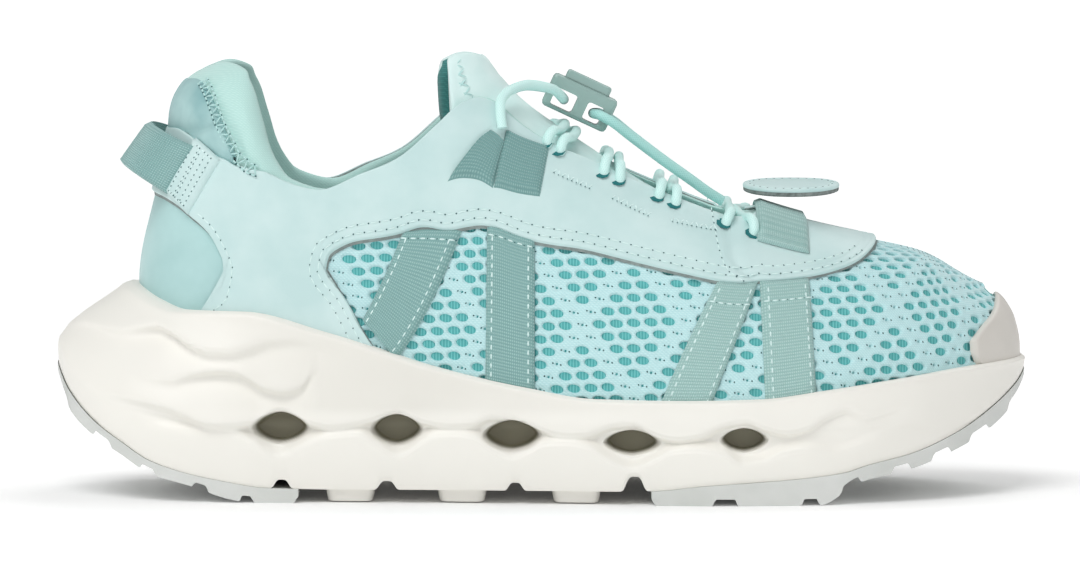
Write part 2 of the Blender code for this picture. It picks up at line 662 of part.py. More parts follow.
def saddle():
    """Leather overlay in one ring round the opening, laid on the upper's own surface."""
    rows = np.array(SADDLE_ROWS)
    at = np.concatenate([SADDLE_HEEL_STEPS, np.arange(1, len(rows) - 0.75, 0.5)])
    borders = [smooth(at, np.arange(len(rows)), values)[:, None] for values in rows.T]
    low_along, low_up, high_along, high_up, bow = borders
    share = np.linspace(0, 1, 5)
    along = low_along + (high_along - low_along) * share + bow * 4 * share * (1 - share)
    up = low_up + (high_up - low_up) * share
    skin = Skin()
    faces = []
    for out in (LAYER_GAP, LAYER_GAP + OVERLAY_THICKNESS):
        faces.append(round_the_shoe(*[on_side(along, up, side, out) for side in (-1, 1)]))
    skin.slab(*faces, wrapped=True)
    return place("saddle", skin.mesh("saddle"), "leather")


def wrap(name, rows, spans, thickness, kind, count, end):
    """Band round the heel (end 0) or the toe (end 1) between two borders, on the upper's surface."""
    rows = np.array(rows)
    reach = abs(rows[:, 0] - end).max()
    along = abs(end - reach * np.linspace(1, 0, count + 1) ** 2)
    low = smooth(along, rows[:, 0], rows[:, 1])[:, None]
    high = smooth(along, rows[:, 0], rows[:, 2])[:, None]
    up = low + (high - low) * np.linspace(0, 1, spans + 1)
    faces = []
    for out in (LAYER_GAP, LAYER_GAP + thickness):
        outer_side, inner_side = [on_side(along[:, None], up, side, out) for side in (-1, 1)]
        faces.append(np.concatenate([outer_side, inner_side[::-1][1:]]))
    skin = Skin()
    skin.slab(*faces)
    return place(name, skin.mesh(name), kind)


def patch(name, corners, side, low, thickness, kind, steps):
    """Four-cornered piece of webbing or leather that lies on the side wall, `low` out from the upper."""
    top_a, top_b, bottom_a, bottom_b = [np.array(corner) for corner in corners]
    across_it = np.linspace(0, 1, steps[0] + 1)[:, None, None]
    down_it = np.linspace(0, 1, steps[1] + 1)[None, :, None]
    top = top_a * (1 - across_it) + top_b * across_it
    bottom = bottom_a * (1 - across_it) + bottom_b * across_it
    at = top * (1 - down_it) + bottom * down_it
    skin = Skin()
    skin.slab(*[on_side(at[..., 0], at[..., 1], side, out) for out in (low, low + thickness)])
    return place(name, skin.mesh(name), kind)


def on_both_sides(pieces, low, thickness, kind, steps):
    for side, side_name in SIDE_NAMES.items():
        for name, corners in pieces.items():
            patch(name.format(side_name), corners, side, low, thickness, kind, steps)


def keeper_loop():
    """Webbing over the crown, from one eyestay to the other."""
    share = np.linspace(-1, 1, 13)
    along = KEEPER_ALONG + WEBBING_WIDTH / LAST_LENGTH * np.linspace(0, 1, 4)[:, None]
    rise = 1 - (1 - KEEPER_RISE) * abs(share)
    skin = Skin()
    outs = (SECOND_LAYER, SECOND_LAYER + STRAP_THICKNESS)
    skin.slab(*[last(along, rise, np.sign(share), out) for out in outs])
    return place("keeper_loop", skin.mesh("keeper_loop"), "webbing")


def heel_pull():
    """Webbing that leaves the heel tabs straight back and turns round behind the heel in half an ellipse."""
    turn = np.linspace(-math.pi / 2, math.pi / 2, 19)[:, None, None]
    share = np.linspace(0, 1, 3)[None, :, None]
    faces = []
    for thick in (0.0, PULL_THICKNESS):
        roots = {}
        for side in (-1, 1):
            ends_at = [on_side(*np.array(root), side, SECOND_LAYER + thick) for root in PULL_ROOT]
            roots[side] = ends_at[0] * (1 - share) + ends_at[1] * share
        backs = [np.array((HEEL_X + x - thick, 0.0, CROWN_HEIGHT * height)) for x, height in PULL_BACK]
        back = backs[0] * (1 - share) + backs[1] * share
        root = np.where(turn < 0, roots[-1], roots[1])
        level = root * [1, 0, 1]
        faces.append(level + (back - level) * np.cos(turn) + root * [0, 1, 0] * abs(np.sin(turn)))
    skin = Skin()
    skin.slab(*faces)
    return place("heel_pull", skin.mesh("heel_pull"), "webbing")


def pull_tab():
    """Oval tab, level over the keeper loop."""
    turn = np.linspace(0, 2 * math.pi, 21)
    rings = []
    for size, z in TAB_SECTION:
        oval_x = TAB_LENGTH / 2 * size * np.sign(np.cos(turn)) * abs(np.cos(turn)) ** TAB_SQUARENESS
        oval_y = TAB_WIDTH / 2 * size * np.sin(turn)
        rings.append(np.stack([oval_x, oval_y, np.full_like(turn, z * TAB_THICKNESS)], axis=-1))
    points = np.stack(rings, axis=1)
    tilt = math.radians(TAB_TILT)
    x = HEEL_X + LAST_LENGTH * TAB_CENTRE
    over = last(np.array(KEEPER_ALONG), 1.0, 1, SECOND_LAYER + STRAP_THICKNESS)
    swing = float(last(np.array(TAB_CENTRE), 1.0, 1)[1])
    points[..., 2] += over[2] + GAP - (points[..., 0] + x - over[0]) * math.tan(tilt)
    points[..., 0] += x
    points[..., 1] += swing
    skin = Skin()
    skin.grid(points)
    return place("pull_tab", skin.mesh("pull_tab"), "leather")


def lock_centre():
    x = HEEL_X + LAST_LENGTH * LOCK_ALONG
    return np.array((x, 0.0, float(crown(LOCK_ALONG)) + LOCK_OVER_CROWN))


def lock_matrix():
    """Places the lock: its length runs down to the toe by the tilt, its button looks up."""
    turn = Matrix.Rotation(math.radians(LOCK_TILT), 4, "Y")
    return Matrix.Translation(Vector(lock_centre()) * MM) @ turn


def block(name, size, centre, bevel, kind=None):
    """Box with rounded edges, in the lock's own frame."""
    mesh = bpy.data.meshes.new(name)
    work = bmesh.new()
    bmesh.ops.create_cube(work, size=1.0)
    bmesh.ops.scale(work, vec=Vector(size) * MM, verts=work.verts)
    bmesh.ops.bevel(
        work, geom=work.edges[:], offset=bevel * MM, segments=2, affect="EDGES", profile=0.5, clamp_overlap=True
    )
    bmesh.ops.translate(work, vec=Vector(centre) * MM, verts=work.verts)
    bmesh.ops.transform(work, matrix=lock_matrix(), verts=work.verts)
    bmesh.ops.recalc_face_normals(work, faces=work.faces)
    work.to_mesh(mesh)
    work.free()
    return place(name, mesh, kind) if kind else cutter(name, mesh)


def cord_lock():
    """Body with two windows for the cord and a well for the button."""
    size = (LOCK_LENGTH, LOCK_WIDTH, LOCK_HEIGHT)
    body = block("cord_lock_body", size, (0, 0, 0), LOCK_BEVEL, "plastic")
    window_z = -LOCK_HEIGHT / 2 + WINDOW_FLOOR + WINDOW_HEIGHT / 2
    for number, (x, length) in enumerate(WINDOWS, 1):
        window_size = (length, LOCK_WIDTH + 2 * WINDOW_BEVEL + 2 * GAP, WINDOW_HEIGHT)
        boolean(body, block(f"window_cutter_{number}", window_size, (x, 0, window_z), WINDOW_BEVEL), "DIFFERENCE")
    depth = BUTTON_SEAT + BUTTON_TRAVEL + GAP
    well = (BUTTON_LENGTH + 2 * GAP, BUTTON_WIDTH + 2 * GAP, 2 * depth)
    boolean(body, block("well_cutter", well, (0, 0, LOCK_HEIGHT / 2), GAP), "DIFFERENCE")
    height = BUTTON_PROUD + BUTTON_SEAT
    centre = (0, 0, LOCK_HEIGHT / 2 - BUTTON_SEAT + height / 2)
    block("cord_lock_button", (BUTTON_LENGTH, BUTTON_WIDTH, height), centre, BUTTON_BEVEL, "plastic")


def curve_through(points, spacing):
    """Points at even steps on the smooth curve through the given ones, each coordinate a smooth cubic of
    the length run so far."""
    points = np.array(points, float)
    run = np.concatenate([[0], np.cumsum(np.linalg.norm(np.diff(points, axis=0), axis=1))])
    steps = max(2, round(run[-1] / spacing))
    at = np.linspace(0, run[-1], steps + 1)
    return np.stack([smooth(at, run, values) for values in points.T], axis=-1)


def tube(name, points):
    """Cord as a curve with a round bevel and filled ends."""
    route = curve_through(points, CORD_DIAMETER * CORD_STEP) * MM
    curve = bpy.data.curves.new(name, "CURVE")
    curve.dimensions = "3D"
    curve.bevel_depth = CORD_DIAMETER / 2 * MM
    curve.bevel_resolution = 2
    curve.use_fill_caps = True
    spline = curve.splines.new("POLY")
    spline.points.add(len(route) - 1)
    spline.points.foreach_set("co", np.column_stack([route, np.ones(len(route))]).ravel())
    obj = bpy.data.objects.new(name, curve)
    bpy.context.scene.collection.objects.link(obj)
    finish(obj, "cord")
    return obj


def lace():
    """Crossings that lie on the tongue between the eyestays, the loop through the lock and the double tail."""
    out = -WALL - TONGUE_GAP + LACE_GAP + CORD_DIAMETER / 2
    crossings = []
    for along, turn in CROSSINGS:
        crossings.append(last(np.array(along), abs(turn) if turn else 1.0, np.sign(turn), out))
    tube("lace_crossings", crossings)
    tube("cord_loop", CORD_LOOP + lock_centre())
    tube("cord_tail", CORD_TAIL + lock_centre())


def clear_scene():
    for obj in list(bpy.data.objects):
        bpy.data.objects.remove(obj)


clear_scene()
upper()
midsole()
tread_plate("outsole_heel", HEEL_PLATE, HEEL_LUGS)
tread_plate("outsole_forefoot", FOREFOOT_PLATE, FOREFOOT_LUGS)
insole()
tongue()
saddle()
wrap("heel_counter", COUNTER_ROWS, 2, OVERLAY_THICKNESS, "counter", 9, 0)
wrap("toe_cap", CAP_ROWS, 3, CAP_THICKNESS, "bumper", 8, 1)
on_both_sides(STRAPS, LAYER_GAP, STRAP_THICKNESS, "webbing", (2, 5))
on_both_sides(COLLAR_LOOPS, SECOND_LAYER, STRAP_THICKNESS, "webbing", (2, 3))
on_both_sides(HEEL_TABS, SECOND_LAYER, OVERLAY_THICKNESS, "leather", (3, 3))
keeper_loop()
heel_pull()
pull_tab()
cord_lock()
lace()
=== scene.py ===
"""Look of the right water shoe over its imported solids: perforated mesh, leather overlays, webbing, stitches,
elastic cord, carved foam sole and rubber treads. Lengths are millimetres until a mesh is made; the toe is at
+X, the outer side of the foot at -Y and the floor at Z = 0."""

import math

import bmesh
import bpy
import numpy as np
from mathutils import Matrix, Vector


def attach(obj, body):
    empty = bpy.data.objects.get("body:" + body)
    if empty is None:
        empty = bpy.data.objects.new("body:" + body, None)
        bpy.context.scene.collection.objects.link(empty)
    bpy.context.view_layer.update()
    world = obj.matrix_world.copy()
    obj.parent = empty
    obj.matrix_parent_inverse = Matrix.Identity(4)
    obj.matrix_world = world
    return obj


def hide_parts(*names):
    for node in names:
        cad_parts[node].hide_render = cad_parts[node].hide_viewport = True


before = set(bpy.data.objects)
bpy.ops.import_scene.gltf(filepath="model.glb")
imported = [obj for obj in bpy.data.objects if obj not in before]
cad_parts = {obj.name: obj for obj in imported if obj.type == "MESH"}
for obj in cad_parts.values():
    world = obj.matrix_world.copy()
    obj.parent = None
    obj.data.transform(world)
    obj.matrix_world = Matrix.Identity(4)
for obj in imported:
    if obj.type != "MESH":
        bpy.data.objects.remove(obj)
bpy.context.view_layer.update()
scene = bpy.context.scene
MM = 0.001
SIDES = (-1, 1)

# Sizes of the last and the sole, the same as in the part's source
LAST_LENGTH = 262.8
BALL_WIDTH = 94.0
CROWN_HEIGHT = 132.0
HEEL_X = -120.2
SOLE_HEIGHT = 63.0
HEEL_LIP = 25.2
TOE_LIP = 2.7
SIDE_FLARE = 8.0
RIM = 3.6
WALL = 2.2
COLLAR_PAD = 2.6
COLLAR_PAD_END = 0.31
COLLAR_PAD_FADE = 0.10
TONGUE_GAP = 1.1
TONGUE_THICKNESS = 3.2
INSOLE_GAP = 0.8
INSOLE_THICKNESS = 4.0
OVERLAY = 1.2
LAYER_GAP = 0.6
GAP = 0.3
STRAP = 1.4
CAP = 1.6
CORD = 3.0
WEBBING_WIDTH = 15.0
THROAT_END = 0.70
LEATHER_TOP = LAYER_GAP + OVERLAY
SECOND_LAYER = LEATHER_TOP + LAYER_GAP

# The last along its length, in shares: its middle line's swing, half width, foot bed, the sole's rim and the
# crown, how round the section is, and how far the sole flares
LAST_COLUMNS = ("along", "swing", "half", "bed", "rim", "crown", "round", "flare")
LAST_ROWS = (
    (0.00, 0.000, 0.350, 0.580, 1.000, 1.210, 0.42, 1.00),
    (0.03, 0.000, 0.350, 0.578, 0.935, 1.210, 0.42, 1.00),
    (0.06, 0.000, 0.350, 0.575, 0.895, 1.210, 0.42, 1.00),
    (0.13, -0.004, 0.352, 0.560, 0.892, 1.200, 0.42, 1.00),
    (0.22, -0.018, 0.350, 0.535, 0.798, 1.190, 0.44, 0.95),
    (0.35, -0.034, 0.358, 0.490, 0.628, 1.085, 0.50, 0.88),
    (0.44, -0.030, 0.388, 0.462, 0.544, 0.900, 0.60, 0.80),
    (0.52, -0.020, 0.428, 0.438, 0.492, 0.800, 0.66, 0.70),
    (0.60, -0.008, 0.470, 0.420, 0.488, 0.722, 0.68, 0.64),
    (0.70, 0.000, 0.500, 0.412, 0.498, 0.636, 0.68, 0.60),
    (0.77, 0.008, 0.492, 0.420, 0.535, 0.594, 0.66, 0.56),
    (0.86, 0.028, 0.462, 0.460, 0.585, 0.555, 0.62, 0.52),
    (0.94, 0.054, 0.420, 0.520, 0.625, 0.520, 0.58, 0.46),
    (1.00, 0.080, 0.390, 0.580, 0.640, 0.462, 0.55, 0.40),
)
HEEL_ROUND = 0.17
TOE_ROUND = 0.24
PLAN_POWER = 2.2
# Lean of the heel's back and the toe's front: height as a share of the crown, then a share of the length
HEEL_BACK = (
    (0.00, 0.012), (0.30, 0.002), (0.47, 0.000), (0.67, 0.018), (0.82, 0.036),
    (0.885, 0.044), (0.935, 0.056), (0.968, 0.074), (1.10, 0.100),
)
HEEL_FADE = 0.30
TOE_FRONT = ((0.00, 0.000), (0.33, 0.003), (0.39, 0.009), (0.43, 0.020), (0.46, 0.034), (0.60, 0.060))
TOE_FADE = 0.14
# The upper's top edge, between the foot bed (0) and the crown (1)
EDGE = (
    (0.000, 0.740), (0.015, 0.750), (0.042, 0.737), (0.060, 0.720), (0.082, 0.686), (0.099, 0.636),
    (0.117, 0.570), (0.132, 0.530), (0.156, 0.489), (0.203, 0.470), (0.259, 0.527), (0.296, 0.582),
    (0.342, 0.710), (0.372, 0.812), (0.396, 0.878), (0.415, 0.900), (0.466, 0.905), (0.524, 0.922),
    (0.585, 0.922), (0.652, 0.928), (0.680, 0.952), (0.693, 0.978), (0.700, 1.000),
)
SIDE_COLUMNS = ("up", "heel", "side")
SIDE_ROWS = (
    (0.00, 0.985, 0.80), (0.25, 1.00, 1.00), (0.60, 0.62, 0.72), (0.82, 0.28, 0.30), (1.00, 0.0, 0.0),
)
# Where foam and rubber part, and the tread's height, in shares of SOLE_HEIGHT
PARTING = (
    (0.000, 0.620), (0.015, 0.500), (0.042, 0.370), (0.072, 0.275), (0.10, 0.195), (0.135, 0.142),
    (0.175, 0.102), (0.221, 0.070), (0.29, 0.064), (0.57, 0.064), (0.613, 0.068), (0.663, 0.092),
    (0.758, 0.124), (0.806, 0.150), (0.83, 0.182), (0.878, 0.232), (0.925, 0.318), (0.96, 0.415),
    (0.99, 0.525), (1.000, 0.580),
)
TREAD = (
    (0.000, 0.570), (0.015, 0.415), (0.042, 0.300), (0.072, 0.215), (0.10, 0.135), (0.145, 0.075),
    (0.18, 0.020), (0.205, 0.000), (0.78, 0.000), (0.823, 0.105), (0.878, 0.160), (0.925, 0.240),
    (0.96, 0.325), (0.99, 0.450), (1.000, 0.535),
)
HEEL_LUGS = ((0.012, 0.045), (0.058, 0.094), (0.104, 0.148), (0.158, 0.196), (0.204, 0.252))
MIDFOOT_LUGS = ((0.279, 0.331), (0.393, 0.445), (0.509, 0.561))
FOREFOOT_LUGS = (
    (0.611, 0.676), (0.695, 0.766), (0.778, 0.806), (0.820, 0.858), (0.872, 0.900), (0.914, 0.940),
    (0.955, 0.982),
)
HEEL_PLATE = (0.0, 0.2525)
FOREFOOT_PLATE = (0.611, 1.0)
LUG_LANES = ((-1.0, -0.36), (-0.28, 0.28), (0.36, 1.0))
TONGUE_COLUMNS = ("up", "middle", "edge", "rise")
TONGUE_ROWS = (
    (0.00, 0.760, 0.760, 0.62), (0.35, 0.640, 0.640, 0.58), (0.65, 0.520, 0.510, 0.54),
    (0.85, 0.435, 0.352, 0.51), (1.00, 0.385, 0.345, 0.73),
)


def smooth(at, places, values):
    """Cubic through each (place, value), which never swings past a neighbouring value."""
    places = np.asarray(places, float)
    values = np.asarray(values, float)
    step = np.diff(places)
    slope = np.diff(values) / step
    product = slope[:-1] * slope[1:]
    total = np.where(product > 0, slope[:-1] + slope[1:], 1.0)
    inner = np.where(product > 0, 2 * product / total, 0.0)
    tangent = np.concatenate([slope[:1], inner, slope[-1:]])
    at = np.asarray(at, float)
    span = np.clip(np.searchsorted(places, at, "right") - 1, 0, len(step) - 1)
    t = np.clip((at - places[span]) / step[span], 0, 1)
    rise = values[span + 1] - values[span]
    start = tangent[span] * step[span]
    end = tangent[span + 1] * step[span]
    return values[span] + t * start + t * t * (3 * rise - 2 * start - end) + t**3 * (start + end - 2 * rise)


def column(table, name, columns, at):
    rows = np.array(table)
    return smooth(at, rows[:, 0], rows[:, columns.index(name)])


def last_column(name, along):
    return column(LAST_ROWS, name, LAST_COLUMNS, along)


def pairs(table, at):
    rows = np.array(table)
    return smooth(at, rows[:, 0], rows[:, 1])


def ease(share):
    share = np.clip(share, 0, 1)
    return share * share * (3 - 2 * share)


def ends(along):
    """Share of the half width that the rounded heel and toe leave."""
    heel = np.clip(1 - along / HEEL_ROUND, 0, 1)
    toe = np.clip(1 - (1 - along) / TOE_ROUND, 0, 1)
    heel_share = np.clip(1 - heel**PLAN_POWER, 0, 1) ** (1 / PLAN_POWER)
    toe_share = np.clip(1 - toe**PLAN_POWER, 0, 1) ** (1 / PLAN_POWER)
    return heel_share * toe_share


def lean(along, height):
    share = height / CROWN_HEIGHT
    heel = LAST_LENGTH * pairs(HEEL_BACK, share) * (1 - ease(along / HEEL_FADE))
    toe = LAST_LENGTH * pairs(TOE_FRONT, share) * ease(1 - (1 - along) / TOE_FADE)
    return heel - toe


def bed(along):
    return SOLE_HEIGHT * last_column("bed", along)


def rim(along):
    return SOLE_HEIGHT * last_column("rim", along)


def foot(along):
    return bed(along) + GAP


def crown(along, out=0.0):
    return CROWN_HEIGHT * last_column("crown", along) + out


def edge(along):
    return foot(along) + (crown(along) - foot(along)) * pairs(EDGE, along)


def rise_at(along, height, out=0.0):
    share = (height - foot(along)) / (crown(along, out) - foot(along))
    share = np.where(share > 1 - 1e-9, 1.0, share)
    return np.arcsin(np.clip(share, 0, 1)) * 2 / math.pi


def last(along, rise, side, out=0.0):
    """Point of the upper's outer face, moved out by `out`: half width times a power of the angle's cosine,
    crown height times its sine. side is -1 outer, 1 inner."""
    angle = np.clip(rise, 0, 1) * math.pi / 2
    half = (BALL_WIDTH * last_column("half", along) + out) * ends(along)
    wide = np.clip(np.cos(angle), 0, 1) ** last_column("round", along)
    z = foot(along) + (crown(along, out) - foot(along)) * np.sin(angle)
    x = HEEL_X - out + (LAST_LENGTH + 2 * out) * along + lean(along, z)
    y = BALL_WIDTH * last_column("swing", along) + side * half * wide
    return np.stack(np.broadcast_arrays(x, y, z), axis=-1)


def on_side(along, up, side, out=0.0):
    """Point of the side wall between the sole's rim (up 0) and the top edge (up 1)."""
    height = rim(along) + (edge(along) - rim(along)) * up
    return last(along, rise_at(along, height), side, out)


def sole_side(along, up, side, low=None):
    """Point of the sole's side between the parting line (up 0) and the rim (up 1)."""
    heel_out = RIM + (HEEL_LIP - RIM) * column(SIDE_ROWS, "heel", SIDE_COLUMNS, up)
    belly = column(SIDE_ROWS, "side", SIDE_COLUMNS, up)
    flare = RIM + (SIDE_FLARE * last_column("flare", along) - RIM) * belly
    x = HEEL_X - heel_out + (LAST_LENGTH + heel_out + TOE_LIP) * along
    half = (BALL_WIDTH * last_column("half", along) + flare) * ends(along)
    y = BALL_WIDTH * last_column("swing", along) + side * half
    low = SOLE_HEIGHT * pairs(PARTING, along) if low is None else low
    z = low + (rim(along) - low) * up
    return np.stack(np.broadcast_arrays(x, y, z), axis=-1)


def spread(count):
    """Places along the last, closer at both ends."""
    return (1 - np.cos(np.linspace(0, math.pi, count + 1))) / 2


def round_the_shoe(outer_side, inner_side):
    """Joins two sides, heel to toe each, into one run: toe, outer side, heel, inner side, toe."""
    return np.concatenate([outer_side[::-1], inner_side[1:]])


def both_sides(along, up, out):
    """Points on both side walls in one run round the shoe."""
    return round_the_shoe(*[on_side(along, up, side, out) for side in SIDES])


def rounded(distance, radius):
    """Height of a rounded border at a distance from its edge: a quarter circle, then level."""
    return np.sqrt(np.clip(1 - (1 - np.clip(distance / radius, 0, 1)) ** 2, 0, 1))


def across(outer_side, inner_side, shares):
    shares = np.asarray(shares)[None, :, None]
    return outer_side[:, None] * (1 - shares) + inner_side[:, None] * shares


def unit(vectors):
    return vectors / np.maximum(np.linalg.norm(vectors, axis=-1, keepdims=True), 1e-9)


def run_along(points, axis):
    """Length run so far along one axis of a grid of points."""
    steps = np.linalg.norm(np.diff(points, axis=axis), axis=-1)
    return np.concatenate([0 * np.take(steps, [0], axis), np.cumsum(steps, axis)], axis)


def run_of(points):
    """Length run so far along a row of points."""
    return run_along(points, 0)


def curve_through(points, spacing):
    """Points at even steps on the smooth curve through the given ones."""
    points = np.array(points, float)
    run = run_of(points)
    at = np.linspace(0, run[-1], max(2, round(run[-1] / spacing)) + 1)
    return np.stack([smooth(at, run, values) for values in points.T], axis=-1)


class Surface:
    """Collects grids of points in millimetres into one mesh. Each grid brings its pattern places in
    millimetres (the UV map), its material's number and a shade for each point."""

    def __init__(self):
        self.points, self.faces, self.places, self.shades, self.slots = [], [], [], [], []
        self.count = 0

    def grid(self, points, places=None, slot=0, keep=None, shade=0.0):
        self.tiles(points[None], None if places is None else places[None], slot, keep, shade)

    def tiles(self, points, places=None, slot=0, keep=None, shade=0.0):
        """Many grids of one size at once: points has the shape (tiles, rows, columns, 3)."""
        tiles, rows, columns = points.shape[:3]
        index = self.count + np.arange(tiles * rows * columns).reshape(tiles, rows, columns)
        corners = index[:, :-1, :-1], index[:, 1:, :-1], index[:, 1:, 1:], index[:, :-1, 1:]
        faces = np.stack(corners, axis=-1).reshape(-1, 4)
        if places is None:
            places = np.stack([run_along(points, 2), run_along(points, 1)], axis=-1)
        slots = np.broadcast_to(np.asarray(slot), (tiles, rows - 1, columns - 1)).reshape(-1)
        if keep is not None:
            keep = np.broadcast_to(keep, (tiles, rows - 1, columns - 1)).reshape(-1)
            faces, slots = faces[keep], slots[keep]
        self.points.append(points.reshape(-1, 3))
        self.faces.append(faces)
        self.places.append(places.reshape(-1, 2))
        self.shades.append(np.broadcast_to(shade, points.shape[:-1]).reshape(-1))
        self.slots.append(slots)
        self.count += tiles * rows * columns

    def slab(self, face, back, back_slot=0):
        """Two grids as the faces of one sheet, with strips along its borders."""
        self.grid(face)
        self.grid(back, slot=back_slot)
        for at in (0, -1):
            self.grid(np.stack([face[:, at], back[:, at]], axis=1))
        for at in (0, -1):
            self.grid(np.stack([face[at], back[at]], axis=1))

    def make(self, name, materials, material_slot, replaces=(), merge=2e-6, sharp=55, closed=True):
        """Makes the mesh, joins points that coincide, turns the faces out and lets the piece ride."""
        points, faces = np.concatenate(self.points) * MM, np.concatenate(self.faces)
        mesh = bpy.data.meshes.new(name)
        mesh.vertices.add(len(points))
        mesh.vertices.foreach_set("co", points.astype(np.float32).ravel())
        mesh.loops.add(faces.size)
        mesh.loops.foreach_set("vertex_index", faces.astype(np.int32).ravel())
        mesh.polygons.add(len(faces))
        mesh.polygons.foreach_set("loop_start", np.arange(0, faces.size, 4, dtype=np.int32))
        mesh.polygons.foreach_set("material_index", np.concatenate(self.slots).astype(np.int32))
        mesh.update(calc_edges=True)
        layer = mesh.uv_layers.new(name="places")
        layer.data.foreach_set("uv", np.concatenate(self.places)[faces].astype(np.float32).ravel())
        shade = mesh.attributes.new("shade", "FLOAT", "POINT")
        shade.data.foreach_set("value", np.concatenate(self.shades).astype(np.float32))
        work = bmesh.new()
        work.from_mesh(mesh)
        bmesh.ops.remove_doubles(work, verts=work.verts, dist=merge)
        bmesh.ops.dissolve_degenerate(work, edges=work.edges, dist=merge)
        if closed:
            bmesh.ops.recalc_face_normals(work, faces=work.faces)
        work.to_mesh(mesh)
        work.free()
        mesh.shade_smooth()
        mesh.set_sharp_from_angle(angle=math.radians(sharp))
        for material in materials:
            mesh.materials.append(material)
        piece = bpy.data.objects.new(name, mesh)
        scene.collection.objects.link(piece)
        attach(piece, "shoe")
        if replaces:
            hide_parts(*replaces)
        return piece


# Materials

def linear(hex_colour):
    """Linear colour of an sRGB hex value."""
    parts = [int(hex_colour[i : i + 2], 16) / 255 for i in (1, 3, 5)]
    return [c / 12.92 if c <= 0.04045 else ((c + 0.055) / 1.055) ** 2.4 for c in parts] + [1.0]


def socket(node, key):
    """A node's input by its name, with _ for a space, or by i and its number."""
    if key[0] == "i" and key[1:].isdigit():
        return node.inputs[int(key[1:])]
    return node.inputs[key.replace("_", " ")]


def add(tree, kind, settings=None, **links):
    """Adds a node: settings are its own properties and socket values, links join sockets to outputs."""
    node = tree.nodes.new(kind)
    for key, value in (settings or {}).items():
        if hasattr(node, key):
            setattr(node, key, value)
        else:
            socket(node, key).default_value = value
    for key, output in links.items():
        tree.links.new(output, socket(node, key))
    return node


def start(name, hex_colour, roughness, **settings):
    """A material's principled shader with its constant values, and its tree."""
    material = bpy.data.materials.new(name)
    material.use_nodes = True
    tree = material.node_tree
    shader = tree.nodes["Principled BSDF"]
    shader.inputs["Base Color"].default_value = linear(hex_colour)
    shader.inputs["Roughness"].default_value = roughness
    for key, value in settings.items():
        shader.inputs[key.replace("_", " ")].default_value = value
    material.diffuse_color = linear(hex_colour)
    return material, tree, shader


def object_places(tree):
    return add(tree, "ShaderNodeTexCoord").outputs["Object"]


def noise(tree, size_mm, detail):
    """Noise in space, from 0 to 1, in patches or grains of a real size."""
    settings = {"Scale": 1000 / size_mm, "Detail": detail}
    return add(tree, "ShaderNodeTexNoise", settings, Vector=object_places(tree)).outputs["Fac"]


# A band texture of scale 1 has one band each 314 mm
BAND_MM = 314.0


def bands(tree, pitch_mm, direction, **settings):
    """Soft bands in space across one direction, one each pitch_mm."""
    settings.update(wave_type="BANDS", bands_direction=direction, Scale=BAND_MM / pitch_mm)
    return add(tree, "ShaderNodeTexWave", settings, Vector=object_places(tree)).outputs["Fac"]


def two_tones(tree, shader, first, second, share):
    """Base colour between two hex colours, by a share from 0 to 1."""
    settings = {"data_type": "RGBA", "i6": linear(first), "i7": linear(second)}
    mix = add(tree, "ShaderNodeMix", settings, i0=share)
    tree.links.new(mix.outputs[2], shader.inputs["Base Color"])


def mottled(tree, shader, first, second, patch_mm):
    """Base colour that drifts between two tones from patch to patch."""
    cloud = noise(tree, patch_mm, 3.0)
    drift = add(tree, "ShaderNodeMapRange", {"From_Min": 0.35, "From_Max": 0.65}, Value=cloud)
    two_tones(tree, shader, first, second, drift.outputs["Result"])


def bump_from(tree, shader, height, strength, height_mm):
    bump = add(tree, "ShaderNodeBump", {"Strength": strength, "Distance": height_mm * MM}, Height=height)
    tree.links.new(bump.outputs["Normal"], shader.inputs["Normal"])


def grain(tree, shader, grain_mm, strength, height_mm):
    """Bump from fine noise, by the size and height of a grain."""
    bump_from(tree, shader, noise(tree, grain_mm, 4.0), strength, height_mm)


def waves(tree, pitch_mm, along="X", turn=0.0):
    """Lines across the UV map's U (X) or V (Y), one each pitch_mm, from 0 to 1."""
    where = add(tree, "ShaderNodeUVMap", {"uv_map": "places"}).outputs["UV"]
    turned = add(tree, "ShaderNodeMapping", {"Rotation": (0, 0, math.radians(turn))}, Vector=where)
    parted = add(tree, "ShaderNodeSeparateXYZ", Vector=turned.outputs["Vector"])
    angle = add(tree, "ShaderNodeMath", {"operation": "MULTIPLY", "i1": 2 * math.pi / pitch_mm},
                i0=parted.outputs[along])
    line = add(tree, "ShaderNodeMath", {"operation": "SINE"}, i0=angle.outputs[0])
    return add(tree, "ShaderNodeMapRange", {"From_Min": -1.0}, Value=line.outputs[0]).outputs["Result"]


def combine(tree, operation, first, second):
    return add(tree, "ShaderNodeMath", {"operation": operation}, i0=first, i1=second).outputs[0]


def synthetic_leather(name, light, dark, roughness):
    """Polyurethane-coated microfibre, pressed smooth: soft satin light, faint drifts of tone, fine pores."""
    material, tree, shader = start(name, light, roughness, Sheen_Weight=0.15)
    mottled(tree, shader, light, dark, 14.0)
    grain(tree, shader, 0.55, 0.25, 0.12)
    return material


def woven_webbing(name, dark, light):
    """Polyester webbing: ribs are in the mesh, the thread's own twist is a finer bump across them. The
    threads are drawn coarser than real ones, so that they show."""
    material, tree, shader = start(name, dark, 0.78, Sheen_Weight=0.25)
    weave = combine(tree, "MULTIPLY", waves(tree, 0.62, "X"), waves(tree, 0.95, "Y"))
    two_tones(tree, shader, dark, light, weave)
    bump_from(tree, shader, weave, 0.5, 0.25)
    return material


